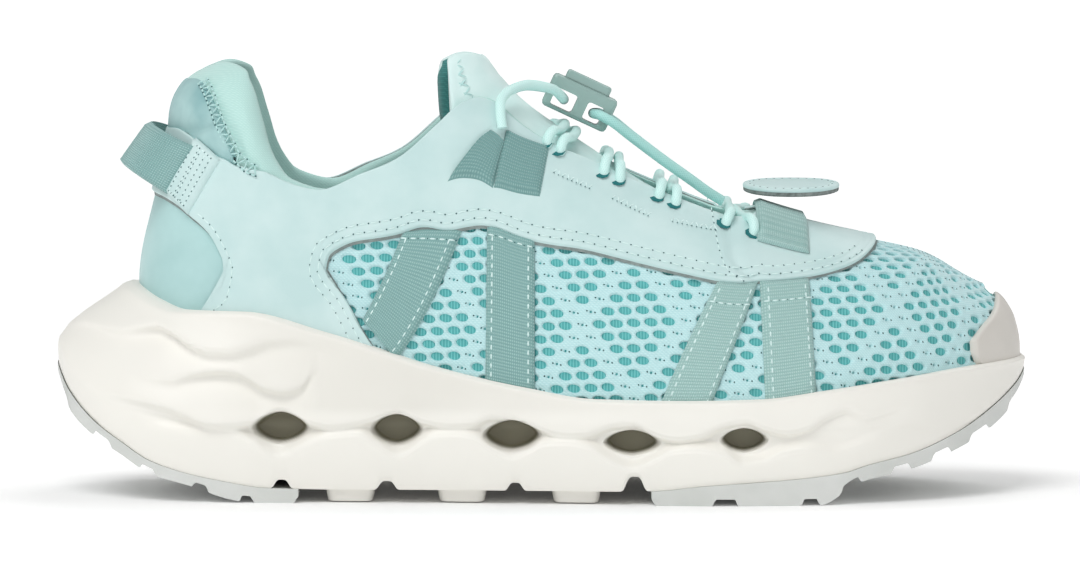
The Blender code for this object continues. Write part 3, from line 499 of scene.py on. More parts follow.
def braided_cord(name, dark, light):
    """Elastic cord with a braided polyester sleeve: two sets of slanted threads, slightly glossy."""
    material, tree, shader = start(name, light, 0.5, Sheen_Weight=0.2)
    braid = combine(tree, "MAXIMUM", waves(tree, 0.6, "X", 38), waves(tree, 0.6, "X", -38))
    two_tones(tree, shader, dark, light, braid)
    bump_from(tree, shader, braid, 0.25, 0.08)
    return material


def knit(name, light, dark, pitch_mm, strength):
    """Knitted polyester: rows of tiny stitches as crossed waves, soft and matt."""
    material, tree, shader = start(name, light, 0.85, Sheen_Weight=0.3)
    lines = [bands(tree, pitch_mm, direction, Distortion=1.2, Detail=1.0) for direction in ("DIAGONAL", "Z")]
    loops = combine(tree, "MULTIPLY", *lines)
    two_tones(tree, shader, dark, light, loops)
    bump_from(tree, shader, loops, strength, 0.2)
    return material


def ground_mesh():
    """The spacer mesh's lower face, seen through the holes: teal, with fine upright ribs."""
    material, tree, shader = start("mesh_ground_knit", "#5DB8B8", 0.8, Sheen_Weight=0.2)
    ribs = bands(tree, 0.9, "X", Distortion=0.4)
    two_tones(tree, shader, "#4CA6A8", "#74C8C6", ribs)
    bump_from(tree, shader, ribs, 0.5, 0.3)
    return material


def moulded_foam(name, skin, deep):
    """Injection-moulded EVA foam: satin skin, hardly any grain; each point's shade mixes in a warm grey, a
    painted shade where a pocket runs deep.
    """
    material, tree, shader = start(name, skin, 0.42, Specular_IOR_Level=0.4)
    depth = add(tree, "ShaderNodeAttribute", {"attribute_name": "shade"}).outputs["Fac"]
    two_tones(tree, shader, skin, deep, depth)
    grain(tree, shader, 3.0, 0.12, 0.25)
    return material


def fine_grained(name, light, dark, roughness, patch_mm):
    """Rubber, plastic or nap: matt to satin, with the fine even grain of a blasted mould or a cut fibre."""
    material, tree, shader = start(name, light, roughness)
    mottled(tree, shader, light, dark, patch_mm)
    grain(tree, shader, 0.8, 0.3, 0.15)
    return material


# Pressed leather of the overlays: pale, smooth and satin; over the heel a darker copy of it, a painted shade
LEATHER = synthetic_leather("leather_synthetic_pressed", "#CAE2E1", "#BFDBDA", 0.52)
COUNTER = synthetic_leather("leather_synthetic_counter_shaded", "#B2D6D5", "#A8CECD", 0.5)
# Padded leather over the ankle: duller, painted darker as the shade that falls on it, and cloudy in drifts of
# tone
PAD = synthetic_leather("leather_synthetic_padded_shaded", "#A9CDCC", "#85B1B3", 0.6)
# The tongue's nearly white microfibre, which takes the light softly
TONGUE_FACE = synthetic_leather("microfibre_tongue_padded", "#E2F6F4", "#D6EFED", 0.65)
# Jersey over the collar's foam and the face of the open mesh: soft and matt, with small slanted stitches
COLLAR = knit("collar_jersey_padded", "#C6E7E1", "#B6DDD7", 0.5, 0.25)
MESH = knit("mesh_face_knit", "#D1EEF0", "#B8E0E3", 0.55, 0.45)
# Deep teal that shows in the mesh's holes, and a darker copy inside the shoe, a painted shade
GROUND = ground_mesh()
LINING = knit("lining_jersey_teal_shaded", "#4A9793", "#3B8380", 0.6, 0.4)
# Woven polyester: a dry grey-green with light threads; a darker copy at the collar as painted shade, a paler
# copy at the forefoot as painted light
WEBBING = woven_webbing("webbing_polyester_woven", "#7AA4A2", "#A5C9C6")
WEBBING_SHADED = woven_webbing("webbing_polyester_shaded", "#6D9896", "#97BBB9")
WEBBING_LIT = woven_webbing("webbing_polyester_lit", "#93B9B5", "#BDD9D5")
# The elastic cord's braid: bright on the lace and the loop; on the tail a deeper teal, painted darker too as
# shade on its doubled strand
CORD_SLEEVE = braided_cord("cord_elastic_braided", "#BDE9E4", "#D3F5F1")
TAIL_SLEEVE = braided_cord("cord_elastic_tail_shaded", "#93CFC9", "#B2E4DF")
# Moulded foam: warm white with a satin skin; grey-brown painted shade in the depth of the pockets and in the
# scoop above them
FOAM = moulded_foam("foam_eva_moulded", "#F0EEE7", "#86826F")
# Tread rubber, light grey and matt, and the toe's warmer film with a slight shine
RUBBER = fine_grained("rubber_tread_moulded", "#D9DBD8", "#CDD0CC", 0.62, 20.0)
BUMPER = fine_grained("rubber_film_bumper", "#D9D5CE", "#D0CCC5", 0.5, 26.0)
# Dark line of a cut edge, and the dull grey nap on the tab's back
RAW_EDGE = fine_grained("microfibre_cut_edge", "#8F9B99", "#7C8886", 0.9, 2.0)
SUEDE = fine_grained("microfibre_napped_back", "#8E9593", "#6F7674", 0.95, 1.2)
# Thread, too thin for a pattern to show: light and slightly glossy, or in the leather's own tone
THREAD = start("thread_polyester_light", "#D9F0EE", 0.6)[0]
THREAD_TEAL = start("thread_polyester_teal", "#B4DAD7", 0.6)[0]
# Painted shadow in needle holes, in the knit's small side dots and in eyelets, matt and dark
HOLE = start("needle_hole_shadow", "#2F5C5F", 0.9)[0]
EYELET = start("eyelet_shadow_teal", "#1E7274", 0.9)[0]
# Hard moulded acetal of the cord lock: grey-green with an even low shine
PLASTIC = fine_grained("acetal_moulded", "#94B1AC", "#8EABA5", 0.38, 30.0)


# Camera: level with the shoe, looking along +Y from four degrees above, through a long lens
PIXEL = 0.30
FRAME_WIDTH = 1080 * PIXEL
AIM = Vector((-0.45, 0.0, 62.56)) * MM
ELEVATION = math.radians(4)
DISTANCE = 2.2
SENSOR = 36.0
camera_data = bpy.data.cameras.new("camera")
camera_data.sensor_width = SENSOR
camera_data.lens = SENSOR * DISTANCE / (FRAME_WIDTH * MM)
camera_data.clip_start, camera_data.clip_end = 0.05, 50.0
camera = bpy.data.objects.new("camera", camera_data)
camera_back = Vector((0.0, -math.cos(ELEVATION), math.sin(ELEVATION)))
camera.location = AIM + camera_back * DISTANCE
camera.rotation_euler = (-camera_back).to_track_quat("-Z", "Y").to_euler()
scene.collection.objects.link(camera)
scene.camera = camera


def tube(points, diameter, sides=14, surface=None):
    """A round section carried along a path by frames that don't twist, closed at both ends. The pattern
    places run round the section (U) and along the cord (V)."""
    points = np.asarray(points, float)
    tangents = unit(np.gradient(points, axis=0))
    helper = [0.0, 0.0, 1.0] if abs(tangents[0][2]) < 0.9 else [1.0, 0.0, 0.0]
    normals = [unit(np.cross(tangents[0], helper))]
    for tangent in tangents[1:]:
        normal = normals[-1] - tangent * np.dot(normals[-1], tangent)
        normals.append(normal / np.linalg.norm(normal))
    normals = np.array(normals)
    sideways = np.cross(tangents, normals)
    turn = np.linspace(0, 2 * math.pi, sides + 1)
    ring = normals[:, None] * np.cos(turn)[None, :, None] + sideways[:, None] * np.sin(turn)[None, :, None]
    wall = points[:, None] + ring * (diameter / 2)
    wall[:, -1] = wall[:, 0]
    places = np.stack(np.broadcast_arrays(turn[None] * diameter / 2, run_of(points)[:, None]), axis=-1)
    surface = surface or Surface()
    surface.grid(wall, places)
    for at in (0, -1):
        surface.grid(np.stack([wall[at], np.repeat(points[at][None], sides + 1, axis=0)]))
    return surface


# The cord's free runs from the lock's centre, in millimetres; the tail hangs a little lower than in the part
LOCK_ALONG = 0.5008
LOCK_CENTRE = np.array((HEEL_X + LAST_LENGTH * LOCK_ALONG, 0.0, float(crown(LOCK_ALONG)) + 8.0))
CORD_LOOP = (
    (-23.0, -32.4, -6.2), (-23.5, -31.4, -2.4), (-23.6, -30.0, 0.6), (-21.0, -24.5, 4.4), (-15.4, -17.0, 6.0),
    (-8.2, -10.0, 4.4), (-5.2, -5.6, 1.6), (-4.7, 0.0, 0.8), (-5.2, 5.6, 1.4), (-8.2, 10.0, 3.4),
    (-15.4, 17.0, 4.2), (-21.0, 21.5, 2.4), (-23.6, 25.2, -0.8), (-23.4, 26.6, -3.6),
)
CORD_TAIL = (
    (42.8, -2.2, -29.6), (38.6, -2.8, -27.0), (33.6, -3.6, -23.4), (24.6, -4.6, -17.0), (15.6, -6.0, -10.2),
    (9.1, -7.4, -5.2), (5.4, -5.8, -3.4), (4.0, 0.0, -3.3), (5.4, 5.8, -3.4), (9.1, 7.4, -5.2),
    (15.6, 6.0, -10.2), (24.6, 4.6, -17.0), (33.6, 3.6, -23.4), (38.6, 2.8, -27.0), (42.8, 2.2, -29.6),
)
for cord_name, cord_route, cord_node, sleeve in (
    ("cord_loop_braided", CORD_LOOP, "cord_loop", CORD_SLEEVE),
    # The tail's sleeve: a deeper teal with painted shade
    ("cord_tail_braided", CORD_TAIL, "cord_tail", TAIL_SLEEVE),
):
    cord_path = curve_through(cord_route + LOCK_CENTRE, 1.2)
    cord_piece = tube(cord_path, CORD).make(cord_name, [sleeve], "cord", [cord_node])
    float(run_of(cord_path)[-1]) * MM


# How far the shell sinks under the open mesh, and the roll under the collar's edge: height, depth, half width
MESH_SINK = 0.55
COLLAR_ROLL = (0.9, 7.0, 4.5)


def upper_shell():
    """Lining and wall of the upper: the last's own surface outside and inside, with a round roll over the
    collar's edge. Where the mesh lies over it the outer face sits lower and shows as the mesh's ground."""
    along = spread(150)
    along = np.sort(np.concatenate([along, THROAT_END * np.array((0.93, 0.957, 0.978, 0.991, 1.0))]))
    pad = COLLAR_PAD * ease((COLLAR_PAD_END - along) / COLLAR_PAD_FADE)
    thick = (WALL + pad)[:, None]
    open_here = ease((THROAT_END - along) / 0.012)
    radius = thick * 0.5 * open_here[:, None]
    top = edge(along)[:, None]
    at = along[:, None]
    share = np.linspace(0, 1, 44)[None]
    outer_rise = rise_at(at, top - radius) * share
    height = foot(at) + (crown(at) - foot(at)) * np.sin(outer_rise * math.pi / 2)
    up = (height - rim(at)) / (edge(at) - rim(at))
    mesh_zone = ease((at - 0.19) / 0.02) * ease((0.93 - np.where(at > 0.72, 0, up)) / 0.05)
    proud, down, half_wide = COLLAR_ROLL
    roll = proud * np.exp(-(((top - height - down) / half_wide) ** 2)) * ease((0.30 - at) / 0.08)
    turn = np.linspace(0, math.pi, 9)[None, 1:-1]
    roll_out = -thick / 2 + thick / 2 * np.cos(turn)
    roll_rise = rise_at(at, top - radius + radius * np.sin(turn), roll_out)
    inner_rise = rise_at(at, top - radius, -thick) * share[:, ::-1]
    surface = Surface()
    outer, rolled, inner = [], [], []
    for side in SIDES:
        outer.append(last(at, outer_rise, side, -MESH_SINK * mesh_zone + roll))
        inner.append(last(at, inner_rise, side, -thick))
        middle = last(at, roll_rise, side, roll_out)
        rolled.append(np.concatenate([outer[-1][:, -1:], middle, inner[-1][:, :1]], axis=1))
    outer, rolled, inner = (round_the_shoe(*pair) for pair in (outer, rolled, inner))
    zone = round_the_shoe(mesh_zone, mesh_zone)
    surface.grid(outer, slot=(zone[1:, 1:] > 0.5).astype(int))
    surface.grid(inner)
    around = np.concatenate([along[::-1], along[1:]])
    is_open = (np.maximum(around[:-1], around[1:]) <= THROAT_END + 1e-9)[:, None]
    surface.grid(rolled, keep=np.repeat(is_open, rolled.shape[1] - 1, axis=1))
    surface.grid(np.stack([outer[:, 0], inner[:, -1]], axis=1))
    surface.make("upper_shell", [COLLAR, GROUND], "mesh", ["upper"])


# The open mesh: cell size, hole half sizes and slant, and every how many diagonals the holes shrink to dots
CELL_LONG = 5.3
CELL_HIGH = 3.75
HOLE_LONG = 2.15
HOLE_HIGH = 1.28
HOLE_SLANT = math.radians(-12)
DIAMOND = 6
# A cell's loops inside its border: their size over the hole's or dot's own, and every loop's height
HOLE_LOOPS = (1.22, 1.03, 0.94)
DOT_LOOPS = (2.4, 1.25, 1.0)
LOOP_LIFT = (0.30, 0.26, -0.02, -0.62)
DOT_RADIUS = 0.34
# Place of the small dots beside a closed cell's own, either way, and their radius
SIDE_DOT = (1.25, -0.32)
SIDE_DOT_RADIUS = 0.30
MESH_TOP = (
    (0.214, 0.50), (0.222, 0.56), (0.248, 0.62), (0.313, 0.635), (0.365, 0.56), (0.435, 0.59), (0.506, 0.64),
    (0.576, 0.655), (0.661, 0.665), (0.700, 0.675), (0.762, 0.76), (0.790, 0.86), (0.805, 1.2), (1.0, 1.2),
)
MESH_REAR = ((0.0, 0.240), (0.235, 0.212), (0.408, 0.190), (1.0, 0.190))


def mesh_field():
    """Turns flat places in millimetres into shares of the last: s is the length along a line at a third of
    the rise, t the length up the section from a level line, both measured on the surface."""
    along = np.linspace(0.15, 0.9985, 330)
    rise = np.linspace(0.0, 1.0, 200)
    points = last(along[:, None], rise[None], -1)
    run_up = run_along(points, 1)
    run_long = run_of(last(along, 0.33, -1))
    level = rise_at(along, 52.0 + 0.05 * (HEEL_X + LAST_LENGTH * along))
    from_level = np.array([np.interp(one, rise, row) for one, row in zip(level, run_up)])
    steps = np.arange(-60.0, 110.0, 0.5)
    table = np.array([np.interp(steps + zero, row, rise) for zero, row in zip(from_level, run_up)])

    def shares(s, t):
        place = np.interp(s, run_long, along)
        row = np.interp(s, run_long, np.arange(len(along)))
        low = np.clip(row.astype(int), 0, len(along) - 2)
        step = np.clip((t - steps[0]) / 0.5, 0, len(steps) - 2.001)
        first = step.astype(int)
        a, b = row - low, step - first
        value = (table[low, first] * (1 - a) * (1 - b) + table[low + 1, first] * a * (1 - b)
                 + table[low, first + 1] * (1 - a) * b + table[low + 1, first + 1] * a * b)
        return place, value

    return shares, run_long[-1]


def open_mesh():
    """Knitted face with holes: brick cells, each a ring of four loops from the cell's border to the hole's
    foot, laid on the last. On every sixth diagonal the hole shrinks to dots, which leaves diamonds."""
    shares, length = mesh_field()
    quarter = np.arange(4) / 4
    border = np.concatenate([
        np.stack([quarter - 0.5, np.full(4, 0.5)], -1), np.stack([np.full(4, 0.5), 0.5 - quarter], -1),
        np.stack([0.5 - quarter, np.full(4, -0.5)], -1), np.stack([np.full(4, -0.5), quarter - 0.5], -1),
    ])
    border = np.concatenate([border, border[:1]])
    angle = np.arctan2(border[:, 1], border[:, 0])
    oval = np.stack([HOLE_LONG * np.cos(angle), HOLE_HIGH * np.sin(angle)], -1)
    cos, sin = math.cos(HOLE_SLANT), math.sin(HOLE_SLANT)
    oval = oval @ np.array([[cos, sin], [-sin, cos]])
    frame_cell = border * [CELL_LONG, CELL_HIGH]
    dot = np.stack([np.cos(angle), np.sin(angle)], -1) * DOT_RADIUS
    j = np.arange(-16, 26)[:, None]
    i = np.arange(0, int(length / CELL_LONG) + 1)[None]
    half_steps = 2 * i + j % 2
    s = half_steps * CELL_LONG / 2
    t = np.broadcast_to(j * CELL_HIGH, s.shape)
    small = (((half_steps + j) // 2) % DIAMOND == 0) | (((half_steps - j) // 2) % DIAMOND == 0)
    s, t, small = s.ravel(), t.ravel(), small.ravel()
    along, rise = shares(s, t)
    height = last(along, rise, -1)[..., 2]
    up = (height - rim(along)) / (edge(along) - rim(along))
    top_rise = shares(s, t + CELL_HIGH * 0.6)[1]
    keep = (height > rim(along) - 2.5) & (up < pairs(MESH_TOP, along)) & (along > pairs(MESH_REAR, up))
    keep &= (along < 0.9975) & (shares(s, t - CELL_HIGH * 0.45)[1] < 0.9999)
    s, t, small, top_rise = s[keep], t[keep], small[keep], top_rise[keep]
    small = small | (top_rise > 0.9995)
    rings = np.stack([frame_cell, *[oval * size for size in HOLE_LOOPS]])
    small_rings = np.stack([frame_cell, *[dot * size for size in DOT_LOOPS]])
    flat = np.where(small[:, None, None, None], small_rings[None], rings[None])
    flat = flat + np.stack([s, t], -1)[:, None, None]
    along, rise = shares(flat[..., 0], flat[..., 1])
    lift = np.array(LOOP_LIFT)[None, :, None]
    surface = Surface()
    dots = []
    for side in SIDES:
        points = last(along, rise, side, lift)
        surface.tiles(points, flat)
        for way in (-1, 1):
            place, up_there = shares(s[small] + way * SIDE_DOT[0], t[small] + way * SIDE_DOT[1])
            dots.append((last(place, up_there, side, 0.27), last(place, up_there, side, 1.27)))
    surface.make("mesh_face", [MESH], "mesh", merge=2e-5, sharp=80, closed=False)
    centres = np.concatenate([pair[0] for pair in dots])
    outward = unit(np.concatenate([pair[1] for pair in dots]) - centres)
    # The side dots are discs of the needle holes' painted shadow
    discs(centres, outward, SIDE_DOT_RADIUS, 0.06, Surface(), 0).make("mesh_dots", [HOLE], "mesh")


def discs(centres, outward, radius, height, surface, slot):
    """Tiny closed pills at many places, their axis along `outward`."""
    turn = np.linspace(0, 2 * math.pi, 9)
    helper = np.where(abs(outward[:, 2:]) < 0.9, [[0.0, 0.0, 1.0]], [[1.0, 0.0, 0.0]])
    one = unit(np.cross(outward, helper))
    two = np.cross(outward, one)
    rings = []
    for size, level in ((0.0, -1.0), (1.0, -1.0), (1.0, 0.3), (0.0, 1.0)):
        ring = one[:, None] * np.cos(turn)[None, :, None] + two[:, None] * np.sin(turn)[None, :, None]
        rings.append(centres[:, None] + ring * radius * size + outward[:, None] * height * level)
    surface.tiles(np.stack(rings, axis=1), slot=slot)
    return surface


def stitches(centres, tangents, outward, length, radius, surface, slot=0):
    """Threads as small closed spindles: six-sided loops whose radius follows half a sine along the stitch,
    bent down at both ends into the needle holes."""
    sideways = unit(np.cross(outward, tangents))
    outward = unit(np.cross(tangents, sideways))
    turn = np.linspace(0, 2 * math.pi, 7)
    share = np.linspace(-1, 1, 6)
    size = np.sqrt(np.clip(1 - share**2 * 0.98, 0, 1))
    size[[0, -1]] = 0.0
    base = centres[:, None, None] + tangents[:, None, None] * (share * length / 2)[None, :, None, None]
    cos, sin = (wave(turn)[None, None, :, None] for wave in (np.cos, np.sin))
    ring = sideways[:, None, None] * cos * 1.25 + outward[:, None, None] * sin
    ring = ring * (radius * size)[None, :, None, None]
    sink = outward[:, None, None] * (-0.9 * radius * share**4)[None, :, None, None]
    surface.tiles(base + ring + sink, slot=slot)
    return surface


def line_on(places, side, out, step, how=on_side):
    """Even points on the surface along a smooth line through (along, up) places: points, tangents and
    outward directions."""
    places = np.array(places, float)
    rough = how(places[:, 0], places[:, 1], side, out)
    run = run_of(rough)
    fine = np.linspace(0, run[-1], 400)
    along, up = (smooth(fine, run, values) for values in places.T)
    true_run = run_of(how(along, up, side, out))
    count = max(2, int(round(true_run[-1] / step)))
    at = (np.arange(count) + 0.5) * true_run[-1] / count

    def spot(where, off):
        return how(np.interp(where, true_run, along), np.interp(where, true_run, up), side, out + off)

    points = spot(at, 0.0)
    tangents = unit(spot(at + 0.3, 0.0) - spot(at - 0.3, 0.0))
    outward = unit(spot(at, 1.0) - points)
    return points, tangents, outward


def row_of_stitches(places, side, out, surface, pitch=3.3, length=2.3, radius=0.17, holes=True):
    """A lockstitch row: threads with a needle hole between each two."""
    points, tangents, outward = line_on(places, side, out, pitch)
    stitches(points, tangents, outward, length, radius, surface)
    if holes:
        discs(points + tangents * pitch / 2, outward, 0.26, 0.05, surface, 1)


# Borders of the leather saddle: lower and upper border, each along and up, and the bow between them
SADDLE_ROWS = (
    (0.000, 0.410, 0.000, 0.700, 0.000), (0.030, 0.402, 0.012, 0.700, 0.000),
    (0.058, 0.375, 0.030, 0.690, 0.000), (0.087, 0.316, 0.045, 0.678, 0.002),
    (0.1055, 0.205, 0.058, 0.668, 0.004), (0.1015, 0.080, 0.070, 0.667, 0.018),
    (0.076, -0.020, 0.082, 0.680, 0.030), (0.105, -0.030, 0.094, 0.705, 0.026),
    (0.150, -0.030, 0.104, 0.755, 0.014), (0.200, -0.030, 0.114, 0.815, 0.006),
    (0.274, -0.030, 0.127, 0.890, 0.000), (0.2605, 0.045, 0.140, 0.950, 0.000),
    (0.239, 0.235, 0.155, 0.985, 0.000), (0.217, 0.408, 0.180, 0.985, 0.000),
    (0.220, 0.514, 0.205, 0.985, 0.000), (0.248, 0.590, 0.245, 0.985, 0.000),
    (0.313, 0.604, 0.300, 0.985, 0.000), (0.365, 0.530, 0.355, 0.985, 0.000),
    (0.435, 0.562, 0.435, 0.985, 0.000), (0.506, 0.612, 0.506, 0.985, 0.000),
    (0.576, 0.626, 0.576, 0.985, 0.000), (0.661, 0.636, 0.655, 0.985, 0.000),
    (0.700, 0.640, 0.683, 0.985, 0.000), (0.762, 0.715, 0.697, 0.988, 0.000),
    (0.810, 0.840, 0.703, 0.992, 0.000), (0.830, 0.955, 0.706, 0.997, 0.000),
    (0.835, 1.000, 0.707, 1.000, 0.000),
)
# Seams' distance from the lower border and depth, and the border row from which the leather sinks under them
SEAM_ROWS = ((1.8, 0.15), (4.3, 0.15))
FIRST_SEWN_ROW = 12.6
# Where the eyestay's leather laps over the vamp's: up and along
OVERLAP = ((0.60, 0.697), (0.64, 0.690), (0.70, 0.672), (0.80, 0.663), (1.00, 0.655))


def band_places(rows, step):
    """Fine rows between two borders, about `step` millimetres apart along the lower border."""
    rows = np.array(rows)
    number = np.arange(len(rows))
    fine = np.linspace(0, len(rows) - 1, 1200)
    low = on_side(smooth(fine, number, rows[:, 0]), smooth(fine, number, rows[:, 1]), -1)
    high = on_side(smooth(fine, number, rows[:, 2]), smooth(fine, number, rows[:, 3]), -1)
    run = (run_of(low) + run_of(high)) / 2
    at = np.interp(np.linspace(0, run[-1], int(run[-1] / step) + 1), run, fine)
    borders = [smooth(at, number, values)[:, None] for values in rows.T]
    borders.append(at[:, None])
    low = on_side(borders[0][:, 0], borders[1][:, 0], -1)
    high = on_side(borders[2][:, 0], borders[3][:, 0], -1)
    return borders, np.linalg.norm(high - low, axis=-1)[:, None]


def band(rows, step, base, thickness, middle, radius=0.55, bulge=0.0, seams=(), near=5.4, bevel=0.0):
    """Leather between two borders: distances from each border set the share across, the face rolls down over
    the cut edge on a quarter circle, sinks a little under each seam and may bulge like padding. The cut edge
    slopes out by the bevel, so that it shows."""
    borders, width = band_places(rows, step)
    low_along, low_up, high_along, high_up = borders[:4]
    bow = borders[4] if len(borders) > 5 else 0.0
    sewn = ease((borders[-1] - FIRST_SEWN_ROW) / 1.2)
    reach = np.minimum(1.0, width / (near * 2.4))
    near_low = np.array((0.0, 0.08, 0.22, 0.45, 0.9, 1.5, 1.8, 2.2, 3.0, 3.9, 4.3, 4.8, 5.4))[None] * reach
    near_high = np.array((1.2, 0.6, 0.3, 0.12, 0.0))[None] * reach
    inside = np.linspace(0, 1, middle + 2)[None, 1:-1]
    between = near_low[:, -1:] + (width - near_low[:, -1:] - near_high[:, :1]) * inside
    distance = np.concatenate([near_low, between, width - near_high], axis=1)
    share = distance / width
    along = low_along + (high_along - low_along) * share + bow * 4 * share * (1 - share)
    up = low_up + (high_up - low_up) * share
    to_edge = np.minimum(distance, width - distance)
    lift = np.where(to_edge < radius, np.sqrt(np.clip(1 - (1 - to_edge / radius) ** 2, 0, 1)), 1.0)
    out = base + thickness * (0.25 + 0.75 * lift) + bulge * np.sin(np.clip(share, 0, 1) * math.pi) ** 0.8
    for place, depth in seams:
        out = out - sewn * depth * np.exp(-(((distance - place * reach) / 0.4) ** 2))
    foot_share = -bevel / width
    back_share = foot_share + (1 - foot_share) * np.linspace(0, 1, 7)[None]
    back_along = low_along + (high_along - low_along) * back_share + bow * 4 * back_share * (1 - back_share)
    back_up = low_up + (high_up - low_up) * back_share
    return (along, up, out), (back_along, back_up, base)


def saddle_leather():
    """One ring of leather round the opening, from the heel to the vamp, both sides in one sheet."""
    front, back = band(SADDLE_ROWS, 1.2, LAYER_GAP, OVERLAY, middle=20, seams=SEAM_ROWS, bevel=0.8)
    along, up, out = front
    past_overlap = (along - pairs(OVERLAP, np.clip(up, 0.6, 1.0))) * LAST_LENGTH
    front = (along, up, out - 0.5 * ease(past_overlap / 0.8) * ease((6.0 - past_overlap) / 5.0))
    surface = Surface()
    face = both_sides(*front)
    under = both_sides(*back)
    surface.grid(face)
    surface.grid(under, slot=1)
    for column_at in (0, -1):
        surface.grid(np.stack([face[:, column_at], under[:, column_at]], axis=1), slot=1)
    surface.make("saddle_leather", [LEATHER, RAW_EDGE], "leather", ["saddle"], sharp=70)


# Borders of the pad over the ankle: lower and upper, each along and up
PAD_ROWS = (
    (0.000, 0.690, 0.000, 0.930), (0.012, 0.690, 0.011, 0.922), (0.030, 0.680, 0.029, 0.905),
    (0.045, 0.668, 0.045, 0.875), (0.058, 0.660, 0.056, 0.840), (0.070, 0.660, 0.067, 0.800),
    (0.082, 0.674, 0.079, 0.765), (0.094, 0.705, 0.092, 0.735),
)
# Folds of the pad: along, up, depth and slant
PAD_FOLDS = ((0.040, 0.735, 0.7, 2.2), (0.052, 0.765, 0.6, 2.6), (0.030, 0.70, 0.4, 1.8))


def heel_pad():
    """Padded panel above the pull loop: a soft bulge between the saddle's edge and the collar's seam, with
    three folds pressed in where the ankle bends it."""
    front, back = band(PAD_ROWS, 1.2, 0.25, 0.9, middle=18, radius=1.6, bulge=1.0, near=2.0)
    along, up, out = front
    for place, height, depth, slant in PAD_FOLDS:
        far = (up - height - slant * (along - place)) / 0.016
        out = out - depth * np.exp(-(far**2)) * np.exp(-(((along - place) / 0.022) ** 2))
    surface = Surface()
    face = both_sides(along, up, out)
    under = both_sides(*back)
    surface.grid(face)
    surface.grid(under)
    for column_at in (0, -1):
        surface.grid(np.stack([face[:, column_at], under[:, column_at]], axis=1))
    for row_at in (0, -1):
        surface.grid(np.stack([face[row_at], np.repeat(under[row_at][:1], face.shape[1], axis=0)]))
    # The pad's leather is painted in its shaded tone
    surface.make("heel_pad", [PAD], "leather")


def heel_counter():
    """Panel round the heel under the saddle: smooth leather over padding, its border tucked in."""
    up = np.linspace(-0.05, 0.40, 26)[None]
    along = 0.116 * np.linspace(0, 1, 38)[:, None] ** 1.6
    out = 0.45 + 0.25 * np.sin(np.clip(up / 0.4, 0, 1) * math.pi)
    surface = Surface()
    surface.slab(both_sides(along, up, out), both_sides(along, up, 0.1))
    # The counter wears the darker copy of the overlay leather: painted shade
    surface.make("heel_counter_panel", [COUNTER], "counter", ["heel_counter"])


# Rows of faces to a rib of the webbing
RIB_ROWS = 5


def webbing(node, columns, place, thickness, material, rib=0.95, height=0.14, tuck=(False, False)):
    """Webbing on the function place(across, down, out) with both shares from 0 to 1: ribs run across it as a
    rectified sine, the selvedges are rounded, and each end may dive under its neighbour."""
    across_it = np.linspace(0, 1, columns + 1)[:, None]
    length = run_of(place(np.full(200, 0.5), np.linspace(0, 1, 200), 0.0))[-1]
    width = run_of(place(np.linspace(0, 1, 50), np.full(50, 0.5), 0.0))[-1]
    down_it = np.linspace(0, 1, max(8, int(length / rib * RIB_ROWS)) + 1)[None]
    from_side = np.minimum(across_it, 1 - across_it) * width
    round_off = rounded(from_side, 0.5)
    seam = np.exp(-(((from_side - 1.8) / 0.3) ** 2))
    ribs = abs(np.sin(math.pi * down_it * length / rib))
    out = thickness * (0.3 + 0.7 * round_off) + height * (ribs - 0.6) * round_off - 0.18 * seam
    for tucked, share in zip(tuck, (down_it, 1 - down_it)):
        if tucked:
            out = out * (0.05 + 0.95 * ease(share * length / 2.2))
    face = place(across_it, down_it, out)
    back = place(across_it, down_it, np.zeros_like(out))
    places = np.stack(np.broadcast_arrays(across_it * width, down_it * length), axis=-1)
    surface = Surface()
    surface.grid(face, places)
    surface.grid(back, places)
    for at in (0, -1):
        surface.grid(np.stack([face[at], back[at]]), np.stack([places[at], places[at]]))
        surface.grid(np.stack([face[:, at], back[:, at]]), np.stack([places[:, at], places[:, at]]))
    surface.make(f"{node}_woven", [material], "webbing", [node], sharp=75)


# Corners of the straps and loops on the side wall, as along and up: two at the top, two at the bottom
STRAPS = {
    "strap_{}_1": ((0.304, 0.620), (0.370, 0.530), (0.258, 0.130), (0.296, -0.030)),
    "strap_{}_2": ((0.397, 0.550), (0.450, 0.590), (0.395, -0.030), (0.450, -0.030)),
    "strap_{}_3": ((0.655, 0.650), (0.700, 0.650), (0.589, -0.030), (0.646, -0.030)),
    "strap_{}_4": ((0.701, 0.650), (0.756, 0.715), (0.707, -0.030), (0.763, -0.030)),
}
COLLAR_LOOPS = {
    "collar_loop_{}_rear": ((0.402, 0.870), (0.4175, 0.862), (0.354, 0.720), (0.4040, 0.677)),
    "collar_loop_{}_front": ((0.419, 0.910), (0.466, 0.950), (0.405, 0.680), (0.456, 0.750)),
}
SIDE_NAMES = {-1: "outer", 1: "inner"}
# The straps' height over the last, and how far down each strap the stitches cross it, in shares
STRAP_BASE = 0.5
STRAP_BAR = {"1": 0.085, "2": 0.075, "3": 0.20, "4": 0.19}


def on_patch(corners, across_it, down_it):
    """Place, as along and up, at shares across and down a four-cornered patch."""
    top_a, top_b, bottom_a, bottom_b = np.array(corners)
    across_it, down_it = np.asarray(across_it)[..., None], np.asarray(down_it)[..., None]
    top = top_a * (1 - across_it) + top_b * across_it
    bottom = bottom_a * (1 - across_it) + bottom_b * across_it
    return top * (1 - down_it) + bottom * down_it


def four_corners(corners, side, base):
    """Function from shares across and down a four-cornered patch to a point on the side wall."""
    def place(across_it, down_it, out):
        at = on_patch(corners, across_it, down_it)
        return on_side(at[..., 0], at[..., 1], side, base + out)

    return place


